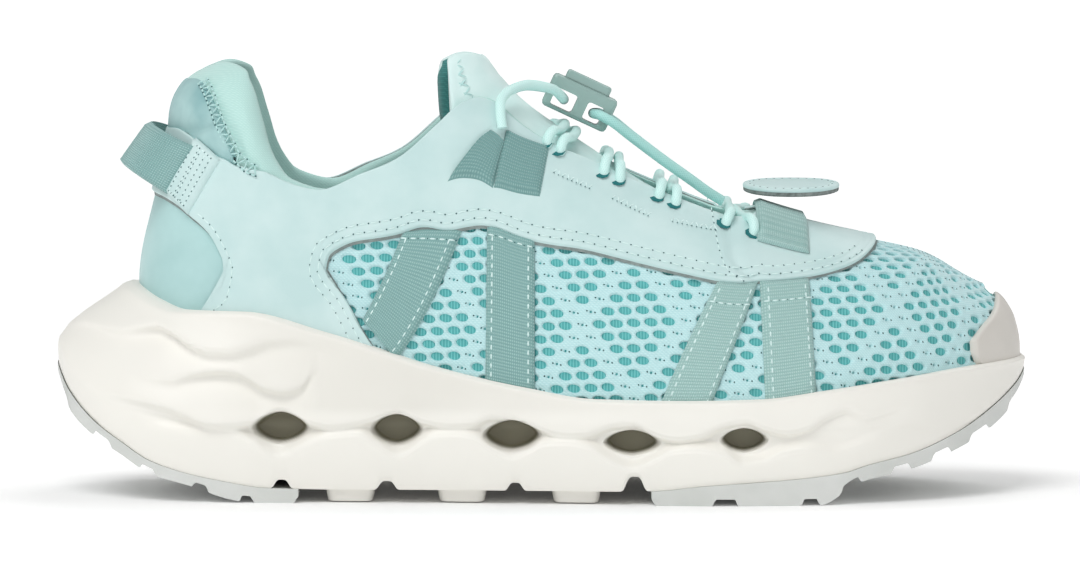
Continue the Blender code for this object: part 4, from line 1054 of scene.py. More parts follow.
def straps_and_loops():
    """Straps over the mesh with light stitches along both selvedges, and the loops at the eyestays' top."""
    thread = {"pitch": 2.7, "length": 2.0, "radius": 0.2}
    for side in SIDES:
        for pattern, corners in STRAPS.items():
            name, number = pattern.format(SIDE_NAMES[side]), pattern[-1]
            place = four_corners(corners, side, STRAP_BASE)
            # Straps 3 and 4 take the paler copy: painted light on the forefoot
            webbing(name, 12, place, STRAP, WEBBING_LIT if number in "34" else WEBBING, tuck=(True, False))
            surface = Surface()
            for share in (0.125, 0.875):
                row = np.linspace(on_patch(corners, share, 0.07), on_patch(corners, share, 1.0), 5)
                row_of_stitches(row, side, STRAP_BASE + STRAP - 0.02, surface, holes=False, **thread)
            row = np.linspace(*[on_patch(corners, share, STRAP_BAR[number]) for share in (0, 1)], 4)
            row_of_stitches(row, side, STRAP_BASE + STRAP, surface, **thread)
            surface.make(f"{name}_stitches", [THREAD, HOLE], "webbing")
        for pattern, corners in COLLAR_LOOPS.items():
            name, place = pattern.format(SIDE_NAMES[side]), four_corners(corners, side, LEATHER_TOP)
            # The collar loops take the darker copy: painted shade
            webbing(name, 12, place, STRAP, WEBBING_SHADED, height=0.2, tuck=(False, True))


# The keeper's rear edge along the last, and how low its ends reach
KEEPER_ALONG = 0.697
KEEPER_RISE = 0.64


def keeper_loop():
    """Webbing over the vamp from one eyestay to the other, ribbed along its short way."""
    def place(across_it, down_it, out):
        share = np.asarray(down_it) * 2 - 1
        rise = 1 - (1 - KEEPER_RISE) * abs(share)
        along = KEEPER_ALONG + WEBBING_WIDTH / LAST_LENGTH * np.asarray(across_it)
        return last(along, rise, np.where(share < 0, -1.0, 1.0), LEATHER_TOP + 0.25 + out)

    # The keeper takes the paler copy: painted light on the forefoot
    webbing("keeper_loop", 12, place, STRAP, WEBBING_LIT, rib=1.24, height=0.3)


# Roots of the pull loop as along and up, and its back behind the heel as x from the heel and height
PULL_ROOTS = ((0.046, 0.655), (0.024, 0.425))
PULL_BACKS = ((3.6, 110.6), (-5.0, 98.6))


def heel_pull():
    """Webbing that leaves the saddle's arm and turns round behind the heel in half an ellipse."""
    def place(across_it, down_it, out):
        across_it, down_it, out = np.broadcast_arrays(across_it, down_it, out)
        turn = (down_it - 0.5) * math.pi
        side = np.where(turn < 0, -1.0, 1.0)
        share = across_it[..., None]
        top, low = (on_side(*root, side, SECOND_LAYER + out) for root in PULL_ROOTS)
        root = top * (1 - share) + low * share
        back_x, back_z = (first * (1 - across_it) + second * across_it for first, second in zip(*PULL_BACKS))
        middle = np.stack([HEEL_X + back_x - out, np.zeros_like(back_x), back_z], -1)
        flat = root * [1, 0, 1]
        bent = np.cos(turn)[..., None]
        return flat + (middle - flat) * bent + root * [0, 1, 0] * abs(np.sin(turn))[..., None]

    webbing("heel_pull", 14, place, 1.6, WEBBING, rib=1.0, height=0.2)


# Corners of the tab over the pull loop's end, its size in millimetres, and its stitch lines in shares
TAB_CORNERS = ((0.042, 0.690), (0.078, 0.660), (0.022, 0.425), (0.052, 0.385))
TAB_SIZE = (9.5, 19.0)
TAB_LINES = (
    ((0.14, 0.08), (0.14, 0.92)), ((0.36, 0.08), (0.36, 0.92)), ((0.14, 0.08), (0.36, 0.08)),
    ((0.14, 0.92), (0.36, 0.92)), ((0.44, 0.08), (0.44, 0.92)), ((0.84, 0.08), (0.84, 0.92)),
    ((0.44, 0.08), (0.84, 0.08)), ((0.44, 0.92), (0.84, 0.92)), ((0.64, 0.10), (0.64, 0.90)),
)


def heel_tabs():
    """Leather tab over each end of the pull loop, box stitched."""
    across_it, down_it = np.linspace(0, 1, 18)[:, None], np.linspace(0, 1, 18)[None]
    to_side = np.minimum(across_it, 1 - across_it) * TAB_SIZE[0]
    to_edge = np.minimum(to_side, np.minimum(down_it, 1 - down_it) * TAB_SIZE[1])
    lift = rounded(to_edge, 0.6)
    for side in SIDES:
        name = f"heel_tab_{SIDE_NAMES[side]}"
        place = four_corners(TAB_CORNERS, side, LEATHER_TOP)
        surface = Surface()
        surface.slab(place(across_it, down_it, 0.3 + 1.1 * lift), place(across_it, down_it, 0.0))
        surface.make(f"{name}_leather", [LEATHER], "leather", [name])
        surface = Surface()
        for line in TAB_LINES:
            row = on_patch(TAB_CORNERS, *np.linspace(*line, 3).T)
            row_of_stitches(row, side, LEATHER_TOP + 1.42, surface, pitch=1.7, length=1.2, radius=0.14)
        surface.make(f"{name}_stitches", [THREAD, HOLE], "leather")


# The pull tab's size, roll and place along the last, and its top and underside as (size, level) rings
PULL_TAB = (29.0, 17.0, 2.4)
TAB_ROLL = math.radians(9)
TAB_ALONG = 0.742
TAB_TOP = (
    (1.0, 0.55), (1.0, 0.78), (0.985, 0.93), (0.95, 1.0), (0.86, 0.985), (0.845, 0.96), (0.83, 0.985),
    (0.5, 1.0), (0.0, 1.0),
)
TAB_BACK = ((0.0, 0.0), (0.6, 0.0), (0.955, 0.0), (0.985, 0.08), (0.992, 0.3), (0.985, 0.5), (1.0, 0.55))


def pull_tab():
    """Oval tab of leather on a napped back: a flat top, rounded border, a slight dish along its length, and
    tipped towards the outer side."""
    turn = np.linspace(0, 2 * math.pi, 73)
    length, width, thick = PULL_TAB
    over = last(np.array(KEEPER_ALONG), 1.0, 1, SECOND_LAYER + STRAP)
    swing = float(last(np.array(TAB_ALONG), 1.0, 1)[1])

    def ring(size, level):
        x = length / 2 * size * np.sign(np.cos(turn)) * abs(np.cos(turn)) ** 0.85
        y = width / 2 * size * np.sin(turn)
        dish = 0.25 * (x / (length / 2)) ** 2
        z = level * thick + over[2] + GAP + (y + width / 2) * math.tan(TAB_ROLL) + dish
        return np.stack([x + HEEL_X + LAST_LENGTH * TAB_ALONG, y + swing, z], -1)

    surface = Surface()
    surface.grid(np.stack([ring(*row) for row in TAB_TOP], axis=1))
    surface.grid(np.stack([ring(*row) for row in TAB_BACK], axis=1), slot=1)
    surface.make("pull_tab_leather", [LEATHER, SUEDE], "leather", ["pull_tab"], sharp=60)
    spots = curve_through(ring(0.85, 1.0), 2.4)
    tangents = unit(np.gradient(spots, axis=0))
    up = np.tile([[0.0, -math.sin(TAB_ROLL), math.cos(TAB_ROLL)]], (len(spots), 1))
    surface = Surface()
    stitches(spots, tangents, up, 1.6, 0.16, surface)
    discs(spots + tangents * 1.2, up, 0.22, 0.05, surface, 1)
    surface.make("pull_tab_stitches", [THREAD, HOLE], "leather")


def sag(along):
    """How far the tongue's middle sinks between the eyestays, in millimetres."""
    return 2.6 * np.exp(-(((along - 0.60) / 0.07) ** 2))


def tongue_point(up, share, out):
    """Point of the tongue's sheet: up from its root to its top edge, share from -1 outer to 1 inner. Near the
    top the inner wing reaches further back, so that its lining shows behind the outer wing."""
    inner = np.where(share > 0, share, 0.0)
    up = up * (1 - 0.02 * ease(inner / 0.5))
    names = TONGUE_COLUMNS[1:]
    middle, low_edge, low_rise = (column(TONGUE_ROWS, name, TONGUE_COLUMNS, up) for name in names)
    along = middle - (middle - low_edge) * abs(share) ** 1.6
    along = along - 0.016 * inner**2 * ease((up - 0.55) / 0.2) * (1 - 0.5 * ease((up - 0.94) / 0.04))
    rise = 1 - (1 - low_rise) * abs(share)
    return last(along, rise, np.where(share < 0, -1.0, 1.0), out - sag(along) * ease((1 - abs(share)) / 0.8))


def tongue():
    """Padded tongue: the CAD sheet with a rounded border, quilted lightly, its top edge bound; a light padded
    face and a teal lining inside, with a band of crossed stitches down the outer wing."""
    up = np.linspace(0, 1, 90)[:, None]
    share = np.linspace(-1, 1, 49)[None]
    out = -WALL - TONGUE_GAP
    to_edge = np.minimum((1 - abs(share)) * 30.0, (1 - up) * 60.0)
    puff = rounded(to_edge, 1.6)
    binding = 0.5 * np.exp(-(((to_edge - 1.9) / 1.0) ** 2)) - 0.45 * np.exp(-(((to_edge - 4.3) / 0.4) ** 2))
    fat = 1.2 * ease((up - 0.55) / 0.3)
    half = (TONGUE_THICKNESS + fat) / 2
    face = tongue_point(up, share, out - TONGUE_THICKNESS / 2 + half * puff + binding * puff)
    back = tongue_point(up, share, out - TONGUE_THICKNESS / 2 - half * puff)
    surface = Surface()
    surface.slab(face, back, back_slot=1)
    # The tongue's lining is the darker teal copy: painted shade inside the shoe
    surface.make("tongue_padded", [TONGUE_FACE, LINING], "leather", ["tongue"], sharp=80)

    def on_tongue(up, share, side, out):
        return tongue_point(up, share, out)

    spots, tangents, outward = line_on(((0.975, -0.86), (0.80, -0.72)), -1, out + 0.5, 2.9, on_tongue)
    sideways = unit(np.cross(outward, tangents))
    surface = Surface()
    for lean_way in (-1, 1):
        stitches(spots, unit(tangents + sideways * 1.5 * lean_way), outward, 5.0, 0.22, surface)
    surface.make("tongue_crosses", [THREAD_TEAL], "leather")


def insole():
    """Sockliner: flat foam under jersey, dished at its border."""
    along = spread(90)
    out = -WALL - INSOLE_GAP
    sides = [last(along, 0.0, side, out) for side in SIDES]
    shares = np.linspace(0, 1, 19)
    face = across(*sides, shares)
    back = face.copy()
    back[..., 2] = foot(along)[:, None] + 0.05
    face[..., 2] = back[..., 2] + INSOLE_THICKNESS + 1.2 * (abs(2 * shares - 1) ** 4)[None] - 0.2
    surface = Surface()
    surface.slab(face, back)
    # The insole's jersey is the darker teal copy: painted shade inside the shoe
    surface.make("insole_jersey", [LINING], "lining", ["insole"])


# The toe cap's lower and upper border along the last
CAP_ROWS = (
    (0.9435, 0.120, 0.235), (0.951, -0.02, 0.300), (0.962, -0.03, 0.400), (0.973, -0.03, 0.500),
    (0.985, -0.03, 0.630), (0.995, -0.03, 0.780), (1.000, -0.03, 0.855),
)


def toe_cap():
    """Rubber film moulded over the toe: thin feathered border, full in the middle."""
    rows = np.array(CAP_ROWS)
    along = (1 - (1 - rows[0, 0]) * (1 - np.linspace(0, 1, 60)) ** 2)[:, None]
    low, high = (smooth(along, rows[:, 0], rows[:, n]) for n in (1, 2))
    share = (1 - np.cos(np.linspace(0, math.pi, 27)))[None] / 2
    up = low + (high - low) * share
    tall = (edge(along) - rim(along)) * (high - low)
    from_tip = run_of(on_side(along[:, 0], (low + high)[:, 0] / 2, -1))[:, None]
    to_edge = np.minimum((1 - share) * tall, from_tip)
    lift = rounded(to_edge, 1.3)
    faces = []
    for level in (0.35 + (CAP + 0.2) * lift, 0.2):
        sides = [on_side(along, up, side, level) for side in SIDES]
        faces.append(np.concatenate([sides[0], sides[1][::-1][1:]]))
    surface = Surface()
    surface.slab(*faces)
    surface.make("toe_cap_rubber", [BUMPER], "bumper", ["toe_cap"], sharp=80)


# Carving of the sole's side, read off the outer side as (x, height) in millimetres. Three ledges flow over
# the rear half; two waves run the sole's length and open round the pockets.
LEDGES = (
    (((-143.6, 49.1), (-136, 50.5), (-129.8, 49.8), (-124.3, 49.1), (-118.8, 50), (-113.3, 50.7),
      (-109.1, 49.1), (-103.6, 45.7), (-98.1, 43.8), (-91.9, 43.5), (-86.4, 44.7), (-79.5, 46.9),
      (-74, 47.2), (-67.8, 46.4), (-54, 40.2)),
     ((-145, 0.5), (-128, 0.9), (-112, 1.7), (-100, 1.6), (-85, 1.1), (-70, 0.6), (-58, 0.0))),
    (((-120, 36.5), (-109.1, 35.3), (-106.4, 36.1), (-102.3, 37.3), (-95.3, 38.1), (-89.9, 37.7), (-86.4, 36),
      (-81.6, 33.3), (-76.1, 32.2), (-71.3, 33.3), (-67.8, 37.4)),
     ((-122, 0.0), (-108, 0.9), (-98, 1.6), (-88, 1.7), (-76, 1.5), (-70, 0.8), (-66, 0.0))),
    (((-128, 30.5), (-120.8, 29.5), (-111.9, 27.7), (-106.4, 26), (-102.3, 23.9), (-96.8, 21.9),
      (-91.2, 21.5), (-85, 22.3)),
     ((-130, 0.0), (-120, 0.8), (-108, 1.3), (-98, 1.2), (-90, 0.8), (-84, 0.2))),
)
WAVE_HIGH = (
    (-128, 29.0), (-106.4, 25.0), (-96.8, 22.6), (-85.0, 23.4), (-77.1, 27.2), (-69.1, 23.8), (-62.0, 22.3),
    (-52.0, 23.9), (-42.3, 26.6), (-34.8, 24.0), (-27.0, 22.7), (-21.2, 23.0), (-14.6, 25.3), (-9.5, 25.3),
    (-2.9, 23.3), (3.6, 20.7), (8.1, 20.1), (13.4, 20.4), (20.5, 23.0), (27.0, 23.7), (33.5, 20.7),
    (39.4, 19.4), (45.9, 20.1), (54.3, 23.8), (59.9, 24.7), (65.6, 22.7), (72.0, 21.3), (78.4, 22.7),
    (84.0, 26.3), (89.7, 28.1), (95.3, 25.6), (101.7, 27.0), (110, 30.0),
)
WAVE_LOW = (
    (-128, 20.0), (-106.4, 21.5), (-91.2, 20.8), (-85.0, 17.7), (-77.4, 13.9), (-69.1, 17.7), (-62.2, 20.1),
    (-54.0, 20.6), (-48.5, 17.4), (-42.3, 14.2), (-35.4, 18.1), (-31.5, 20.4), (-25.7, 20.7), (-20.5, 20.1),
    (-14.6, 16.2), (-8.8, 13.9), (-4.2, 15.5), (1.0, 18.1), (6.8, 18.4), (12.7, 17.5), (19.2, 13.5),
    (26.4, 10.6), (33.5, 13.5), (38.1, 15.8), (43.9, 16.5), (52.9, 15.6), (59.3, 12.1), (64.9, 12.8),
    (71.3, 15.6), (78.4, 16.4), (86.9, 15.0), (95, 17.5), (110, 24.0),
)
VALLEY = ((-128, 0.0), (-110, 0.35), (-92, 1.0), (60, 1.0), (76, 0.8), (90, 0.45), (108, 0.0))
# Pockets as x, height, half length and half height; ripples as x, height and push; notches under the sole as
# x, half length and height
POCKET_DEPTH = 7.5
POCKETS = (
    (-77.1, 22.1, 8.2, 4.7), (-42.8, 21.7, 7.4, 4.6), (-8.9, 20.1, 8.4, 4.5), (26.3, 18.3, 8.1, 3.6),
    (59.6, 19.2, 6.9, 3.5),
)
RIPPLES = ((-30.0, 34.0, 0.0), (80.0, 19.0, 0.7), (96.0, 22.0, 0.8), (112.0, 27.0, 0.6))
NOTCHES = ((-72.0, 2.2, 2.6), (-42.0, 2.4, 2.6), (-5.4, 2.1, 2.4), (28.5, 2.6, 4.4))


def carve(x, z, top):
    """Outward push of the sole's side, in millimetres: a ledge is a step with fading tails on both sides of
    its line, and the valley between the two waves is cut in with a firm upper and a soft lower border."""
    push = np.zeros_like(x)
    for line, strength in LEDGES:
        d = z - pairs(line, x)
        push += 1.5 * pairs(strength, x) * np.tanh(d / 1.2) * np.exp(-abs(d) / np.where(d > 0, 5.5, 8.0))
    deep = pairs(VALLEY, x)
    high, low = pairs(WAVE_HIGH, x), pairs(WAVE_LOW, x)
    inside = ease((high - z) / 1.6) * ease((z - low) / 3.2)
    push -= deep * 2.7 * inside
    push += deep * 0.7 * np.exp(-((np.clip(z - high, 0, 99)) / 7.0) ** 2) * ease((z - high) / 1.2)
    push += deep * 0.35 * np.exp(-((np.clip(low - z, 0, 99)) / 6.0) ** 2) * ease((low - z) / 1.2)
    for crest, centre, height in RIPPLES:
        push += height * np.exp(-(((x - crest) / 7.0) ** 2)) * np.exp(-(((z - centre) / 4.0) ** 2))
    push += 0.45 * np.exp(-(((top - z) / 1.6) ** 2))
    return push


def pocket_depth(x, z):
    """Depth of the blind pockets: a rounded rhombus by the 1.65 power norm with a steep wall."""
    depth = np.zeros_like(x)
    for centre, height, long, high in POCKETS:
        far = (abs((x - centre) / long) ** 1.65 + abs((z - height) / high) ** 1.65) ** (1 / 1.65)
        depth = np.maximum(depth, ease((1.08 - far) / 0.28))
    return depth


# How far the foam's carved side reaches behind the last, on average over its height
HEEL_REACH = 18


def carved_midsole():
    """Foam cup: the sole's own side, carved, down to the parting line with its arched notches, the underside,
    and inside the recess that follows the upper. Rows crowd round the pockets."""
    fine = np.linspace(0, 1, 4000)
    fine_x = HEEL_X - HEEL_REACH + (LAST_LENGTH + HEEL_REACH) * fine
    near_pocket = sum(ease((long + 4 - abs(fine_x - centre)) / 3) for centre, _, long, _ in POCKETS)
    density = 0.6 + 1.5 * near_pocket + 4 * np.exp(-fine / 0.02) + 4 * np.exp(-(1 - fine) / 0.02)
    run = np.concatenate([[0.0], np.cumsum(density[1:])])
    along = np.interp(np.linspace(0, run[-1], 480), run, fine)
    low = SOLE_HEIGHT * pairs(PARTING, along)
    centre_x = HEEL_X - HEEL_REACH + (LAST_LENGTH + HEEL_REACH) * along
    arch = sum(tall * np.exp(-(((centre_x - x) / half) ** 4)) for x, half, tall in NOTCHES)
    dense = np.concatenate([np.linspace(0, 0.27, 9)[:-1], np.linspace(0.27, 0.68, 56)[:-1],
                            np.linspace(0.68, 0.93, 13)[:-1], (0.93, 0.955, 0.972, 0.985, 0.994, 1.0)])
    sides = []
    shades = []
    for side in SIDES:
        points = sole_side(along[:, None], dense[None], side, low[:, None])
        points[..., 2] += arch[:, None] * np.clip(1 - dense / 0.25, 0, 1)
        tangent = np.gradient(points[..., :2], axis=0)
        outward = unit(np.stack([tangent[..., 1], -tangent[..., 0]], -1)) * -side
        outward[0], outward[-1] = (-1.0, 0.0), (1.0, 0.0)
        x, z = points[..., 0], points[..., 2]
        top = rim(along)[:, None]
        above = z - (low + arch)[:, None]
        hold = ease((top - z) / 1.2) * ease(above + 0.15)
        push = carve(x, z, top) * hold
        tuck = -0.3 * np.exp(-((above / 0.9) ** 2)) - 0.7 * ease(1 - (top - z) / 0.8)
        pocket = pocket_depth(x, z)
        points[..., :2] += outward * (push + tuck)[..., None]
        points[..., 1] -= side * POCKET_DEPTH * pocket
        points[0, :, 1] = BALL_WIDTH * last_column("swing", along[0])
        points[-1, :, 1] = BALL_WIDTH * last_column("swing", along[-1])
        sides.append(points)
        # Painted shade: warm grey deep in the pockets, and a faint one in the scoop above them
        painted_scoop_shade = 0.13 * np.exp(-(((x + 38.0) / 48.0) ** 2)) * ease((z - 25.0) / 4.0) * ease((top - z) / 2.0)
        shades.append(np.maximum(ease((pocket - 0.35) / 0.6), painted_scoop_shade))
    inner_rise = rise_at(along, rim(along) - 0.3)[:, None] * np.linspace(1, 0, 7)[None]
    recess = [last(along[:, None], inner_rise, side, GAP) for side in SIDES]
    for rows in recess:
        rows[:, -1, 2] = bed(along)
    surface = Surface()
    walls = [np.concatenate([a, b], axis=1) for a, b in zip(sides, recess)]
    pads = [np.concatenate([shade, np.zeros((len(along), 7))], axis=1) for shade in shades]
    wall = round_the_shoe(*walls)
    surface.grid(wall, shade=round_the_shoe(*pads))
    shares = np.linspace(0, 1, 11)
    surface.grid(across(sides[0][:, 0], sides[1][:, 0], shares))
    surface.grid(across(recess[0][:, -1], recess[1][:, -1], np.linspace(0, 1, 5)))
    surface.make("midsole_carved", [FOAM], "foam", ["midsole"], sharp=50)


LUG_ROUND = 0.5


def block(corners_top, corners_low, surface):
    """Lug with rounded upright edges: rings from its root to its foot, each the quad's outline with its
    corners rounded by a superellipse."""
    turn = np.linspace(0, 2 * math.pi, 33)
    c, s = np.cos(turn), np.sin(turn)
    square = np.stack([np.sign(c) * abs(c) ** 0.28, np.sign(s) * abs(s) ** 0.28], -1)

    def ring(corners, size):
        a, b, d, e = [np.array(corner, float) for corner in corners]
        u, v = (square[:, :1] * size + 1) / 2, (square[:, 1:] * size + 1) / 2
        return a * (1 - u) * (1 - v) + b * u * (1 - v) + d * (1 - u) * v + e * u * v

    drop = np.array(corners_top, float).mean(0) - np.array(corners_low, float).mean(0)
    lift = drop / np.linalg.norm(drop) * LUG_ROUND
    surface.grid(np.stack([
        ring(corners_top, 0.0), ring(corners_top, 1.0), ring(corners_low, 1.0) + lift,
        ring(corners_low, 0.985) + lift * 0.3, ring(corners_low, 0.955), ring(corners_low, 0.0),
    ], axis=1))


def midfoot_lugs():
    """White lugs between the two plates, two across in three rows, tapered to the ground."""
    surface = Surface()
    for start_at, end_at in MIDFOOT_LUGS:
        ends_along = np.array([start_at, end_at])
        sides = [sole_side(ends_along, 0.0, side) for side in SIDES]
        for left, right in ((0.02, 0.46), (0.54, 0.98)):
            top = across(*sides, (left, right))
            low = across(*sides, (left + 0.01, right - 0.01))
            top[..., 2] += 1.2
            low[..., 2] = GAP
            low[..., 0] = top[..., 0].mean() + (top[..., 0] - top[..., 0].mean()) * 0.90
            order = [(0, 0), (1, 0), (0, 1), (1, 1)]
            block([top[i] for i in order], [low[i] for i in order], surface)
    surface.make("midfoot_lugs", [FOAM], "foam")


def tread_plate(node, start_at, end_at, lugs):
    """Rubber plate: its top meets the foam, its underside steps down to lugs in three lanes with sloped
    flanks, a thin sipe across each lug and a lip that stands proud of the foam's side."""
    flank = 1.0 / LAST_LENGTH
    along = np.linspace(start_at, end_at, int((end_at - start_at) * LAST_LENGTH / 0.55))
    close_to_end = {0.0: (0.0004, 0.0012, 0.003), 1.0: (0.9975, 0.999, 0.9996)}
    for at in (start_at, end_at):
        along = np.sort(np.concatenate([along, close_to_end.get(at, ())]))
    lanes = np.linspace(-1, 1, 61)
    sides = [sole_side(along, 0.0, side) for side in SIDES]
    for side, points in zip(SIDES, sides):
        points[:, 1] += side * 0.35 * np.clip(ends(along) * 3, 0, 1)
    top = across(*sides, (lanes + 1) / 2)
    slope = np.gradient(top[:, 0, 2], top[:, 0, 0])
    bottom = top.copy()
    top[..., 2] -= (0.05 * np.hypot(1, slope))[:, None]
    on_lug = sum(ease((along - a) / flank) * ease((b - along) / flank) for a, b in lugs)
    in_lane = sum(
        (ease((lanes - a) / 0.025) if a > -1 else 1.0) * (ease((b - lanes) / 0.025) if b < 1 else 1.0)
        for a, b in LUG_LANES
    )
    raised = on_lug[:, None] * np.clip(in_lane, 0, 1)[None]
    for a, b in lugs:
        middle = (a + b) / 2 + 0.004 * np.cos(lanes * 3 * math.pi)[None]
        sipe = 0.45 * np.exp(-(((along[:, None] - middle) * LAST_LENGTH / 0.45) ** 2)) * (b - a > 0.03)
        raised = raised - sipe * (abs(lanes) < 0.9)[None]
    tread = SOLE_HEIGHT * pairs(TREAD, along)[:, None]
    deepest = 0.45 * (top[..., 2] - tread)
    bottom[..., 2] = tread + np.minimum(2.0, deepest) * (1 - np.clip(raised, 0, 1))
    surface = Surface()
    surface.slab(top, bottom)
    surface.make(f"{node}_tread", [RUBBER], "rubber", [node], sharp=35)


# The lace's strands: where each leaves its eyelet and where it crosses the tongue, along the last
LACE_RUNS = (
    (0.463, 0.484), (0.478, 0.497), (0.527, 0.535), (0.545, 0.546), (0.588, 0.596), (0.607, 0.608),
    (0.662, 0.674), (0.694, 0.681),
)
EYELET_RISE = 0.676
EYELET_RADIUS = 2.3
# A strand's climb: share of its way forward, rise, height over the last and share of the tongue's sag
LACE_LOW = -WALL - TONGUE_GAP + 1.0 + CORD / 2
LACE_CLIMB = (
    (0.0, EYELET_RISE, 0.2, 0.0), (0.1, 0.694, 2.8, 0.0), (0.25, 0.718, 3.5, 0.0), (0.45, 0.750, 3.0, 0.0),
    (0.65, 0.80, 1.0, 0.4), (0.85, 0.88, LACE_LOW + 0.4, 0.8),
)


def eyelet_lace():
    """Lace through the eyelets: each strand comes out of a dark hole under the eyestay's edge, climbs over
    the edge, leans forward and crosses on the tongue."""
    surface = Surface()
    holes = []
    for foot_at, top_at in LACE_RUNS:
        path = []
        for side in SIDES:
            run = [last(foot_at + (top_at - foot_at) * share, rise, side, out - sunk * sag(top_at))
                   for share, rise, out, sunk in LACE_CLIMB]
            path += run if side < 0 else run[::-1]
            holes.append([last(foot_at - 0.002, EYELET_RISE, side, out) for out in (LEATHER_TOP, 9.0)])
        path.insert(len(LACE_CLIMB), last(top_at, 1.0, 1, LACE_LOW - sag(top_at)))
        tube(curve_through(path, 1.4), CORD, 12, surface=surface)
    surface.make("eyelet_lace", [CORD_SLEEVE], "cord", ["lace_crossings"])
    holes = np.array(holes)
    outward = unit(holes[:, 1] - holes[:, 0])
    discs(holes[:, 0], outward, EYELET_RADIUS, 0.12, Surface(), 0).make("eyelets", [EYELET], "leather")


def beside_border(first, final, count, inset):
    """Places on the saddle `inset` millimetres from its lower border, between two of its rows: the border's
    point moved square to the border in the surface's own tangent plane."""
    rows = np.array(SADDLE_ROWS)
    at = np.linspace(first, final, count)
    along, up = (smooth(at, np.arange(len(rows)), rows[:, n]) for n in (0, 1))
    step = 0.001
    along_way = (on_side(along + step, up, -1) - on_side(along - step, up, -1)) / (2 * step)
    up_way = (on_side(along, up + step, -1) - on_side(along, up - step, -1)) / (2 * step)
    run = unit(np.gradient(on_side(along, up, -1), axis=0))
    square = unit(np.cross(np.cross(along_way, up_way), run))
    shift = np.linalg.pinv(np.stack([along_way, up_way], axis=-1)) @ square[..., None]
    return np.stack([along, up], axis=-1) + inset * shift[..., 0]


def tack(places, side, out, surface):
    """A bar tack: a zigzag of short threads between two rows of needle holes."""
    spots, tangents, outward = line_on(places, side, out, 1.5)
    sideways = unit(np.cross(outward, tangents))
    sign = (1.0 - 2.0 * (np.arange(len(spots)) % 2))[:, None]
    slant = unit(tangents * 1.1 + sideways * sign * 2.2)
    stitches(spots, slant, outward, 2.4, 0.17, surface)
    for shift in (-1.15, 1.15):
        discs(spots + sideways * shift, outward, 0.2, 0.05, surface, 1)


# The collar's seam and the three bar tacks on the eyestay, as along and up
LADDER = (
    (0.024, 0.910), (0.032, 0.900), (0.045, 0.872), (0.056, 0.838), (0.067, 0.798), (0.080, 0.765),
    (0.095, 0.755), (0.110, 0.800), (0.128, 0.885),
)
TACKS = (
    ((0.471, 0.882), (0.515, 0.872)), ((0.536, 0.871), (0.580, 0.855)), ((0.601, 0.867), (0.654, 0.900)),
)


# Seams along the saddle's lower border: first and last of its rows, and how many places to take between
WINDOW_SEAM = (10.6, 24.4, 90)
COUNTER_SEAM = (2.0, 5.7, 32)
# Seam behind the vamp's overlap, as a share of the length
LAP_SEAM = 0.0085


def seams():
    """The thread on the leather: two rows round the window, one at the counter, the collar's ladder, the row
    on the vamp's overlap and the bar tacks."""
    surface = Surface()
    for side in SIDES:
        for inset, _ in SEAM_ROWS:
            row_of_stitches(beside_border(*WINDOW_SEAM, inset), side, LEATHER_TOP, surface)
        row_of_stitches(beside_border(*COUNTER_SEAM, 2.2), side, LEATHER_TOP, surface, pitch=3.0)
        spots, tangents, outward = line_on(LADDER, side, 1.9, 1.7)
        sideways = unit(np.cross(outward, tangents))
        for shift in (-1.5, 1.5):
            stitches(spots + sideways * shift, tangents, outward, 1.5, 0.24, surface, 2)
        discs(spots + tangents * 0.85 - sideways * 1.6, outward, 0.30, 0.08, surface, 1)
        discs((spots + tangents * 0.85 + sideways * 1.6)[::2], outward[::2], 0.26, 0.08, surface, 1)
        sign = (1.0 - 2.0 * (np.arange(len(spots)) % 2))[:, None]
        stitches(spots, unit(sideways * 2.6 + tangents * 1.2 * sign), outward, 3.0, 0.2, surface, 2)
        lap = np.array(OVERLAP)[::-1, ::-1]
        lap_row = lap[:4] - (LAP_SEAM, 0.0)
        row_of_stitches(lap_row, side, LEATHER_TOP, surface, pitch=2.4, length=1.5, radius=0.14)
        for first, second in TACKS:
            tack(np.linspace(first, second, 4), side, LEATHER_TOP + 0.05, surface)
    surface.make("overlay_stitches", [THREAD, HOLE, THREAD_TEAL], "leather")


def lock():
    """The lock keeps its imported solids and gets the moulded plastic's finish."""
    for name in ("cord_lock_body", "cord_lock_button"):
        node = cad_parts[name]
        node.data.materials.clear()
        node.data.materials.append(PLASTIC)


upper_shell()
open_mesh()
saddle_leather()
heel_pad()
heel_counter()
straps_and_loops()
keeper_loop()
heel_pull()
heel_tabs()
pull_tab()
tongue()
insole()
toe_cap()
carved_midsole()
midfoot_lugs()
tread_plate("outsole_heel", *HEEL_PLATE, HEEL_LUGS)
tread_plate("outsole_forefoot", *FOREFOOT_PLATE, FOREFOOT_LUGS)
eyelet_lace()
seams()
lock()


# Lamps: name, place in metres, width and power
LAMPS = (("key", (-0.6, -1.3, 1.9), 1.5, 28.5), ("back", (0.5, 1.0, 1.5), 1.2, 7.0))
LIT_POINT = Vector((0, 0, 0.05))


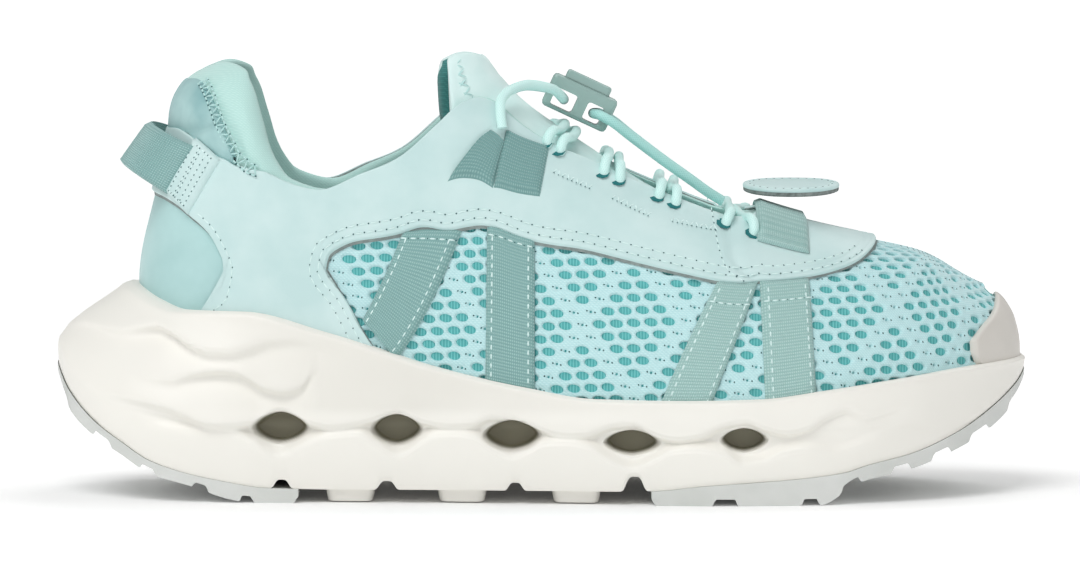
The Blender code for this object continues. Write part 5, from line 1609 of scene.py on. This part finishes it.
def stage():
    """Pale paper under a weak sky, brighter to the horizon, with a broad key from above the front left and a
    low light from behind. Far from the shoe the paper is lit by itself, so that it stays pale."""
    floor_mesh = bpy.data.meshes.new("floor")
    floor_mesh.from_pydata([(-9, -9, 0), (9, -9, 0), (9, 9, 0), (-9, 9, 0)], [], [(0, 1, 2, 3)])
    floor = bpy.data.objects.new("floor", floor_mesh)
    scene.collection.objects.link(floor)
    material, tree, shader = start("studio_paper_white", "#FBFBFB", 0.9, Specular_IOR_Level=0.1)
    shader.inputs["Emission Color"].default_value = (1.0, 1.0, 1.0, 1.0)
    where = object_places(tree)
    far = add(tree, "ShaderNodeVectorMath", {"operation": "LENGTH"}, i0=where).outputs["Value"]
    glow = add(tree, "ShaderNodeMapRange", {"From_Min": 0.35, "From_Max": 3.5, "To_Max": 0.6}, Value=far)
    oval = add(tree, "ShaderNodeVectorMath", {"operation": "MULTIPLY", "i1": (1.0, 2.4, 1.0)}, i0=where)
    near = add(tree, "ShaderNodeVectorMath", {"operation": "LENGTH"}, i0=oval.outputs["Vector"])
    rise = {"From_Min": 0.11, "From_Max": 0.22, "To_Min": 0.02, "To_Max": 0.24}
    halo = add(tree, "ShaderNodeMapRange", rise, Value=near.outputs["Value"])
    light = combine(tree, "ADD", glow.outputs["Result"], halo.outputs["Result"])
    tree.links.new(light, shader.inputs["Emission Strength"])
    floor_mesh.materials.append(material)
    world = bpy.data.worlds.new("studio")
    world.use_nodes = True
    sky = world.node_tree
    direction = add(sky, "ShaderNodeTexCoord").outputs["Generated"]
    height = add(sky, "ShaderNodeSeparateXYZ", Vector=direction).outputs["Z"]
    fade = add(sky, "ShaderNodeMapRange", {"From_Min": 0.02, "From_Max": 0.25, "To_Min": 1.0, "To_Max": 0.36},
               Value=height)
    sky.links.new(fade.outputs["Result"], sky.nodes["Background"].inputs["Strength"])
    sky.nodes["Background"].inputs["Color"].default_value = (1.0, 1.0, 1.0, 1.0)
    scene.world = world
    for name, place, size, power in LAMPS:
        data = bpy.data.lights.new(name, "AREA")
        data.shape = "DISK"
        data.size = size
        data.energy = power
        lamp = bpy.data.objects.new(name, data)
        lamp.location = place
        lamp.rotation_euler = (LIT_POINT - Vector(place)).to_track_quat("-Z", "Y").to_euler()
        scene.collection.objects.link(lamp)


stage()
scene.view_settings.view_transform = "Standard"
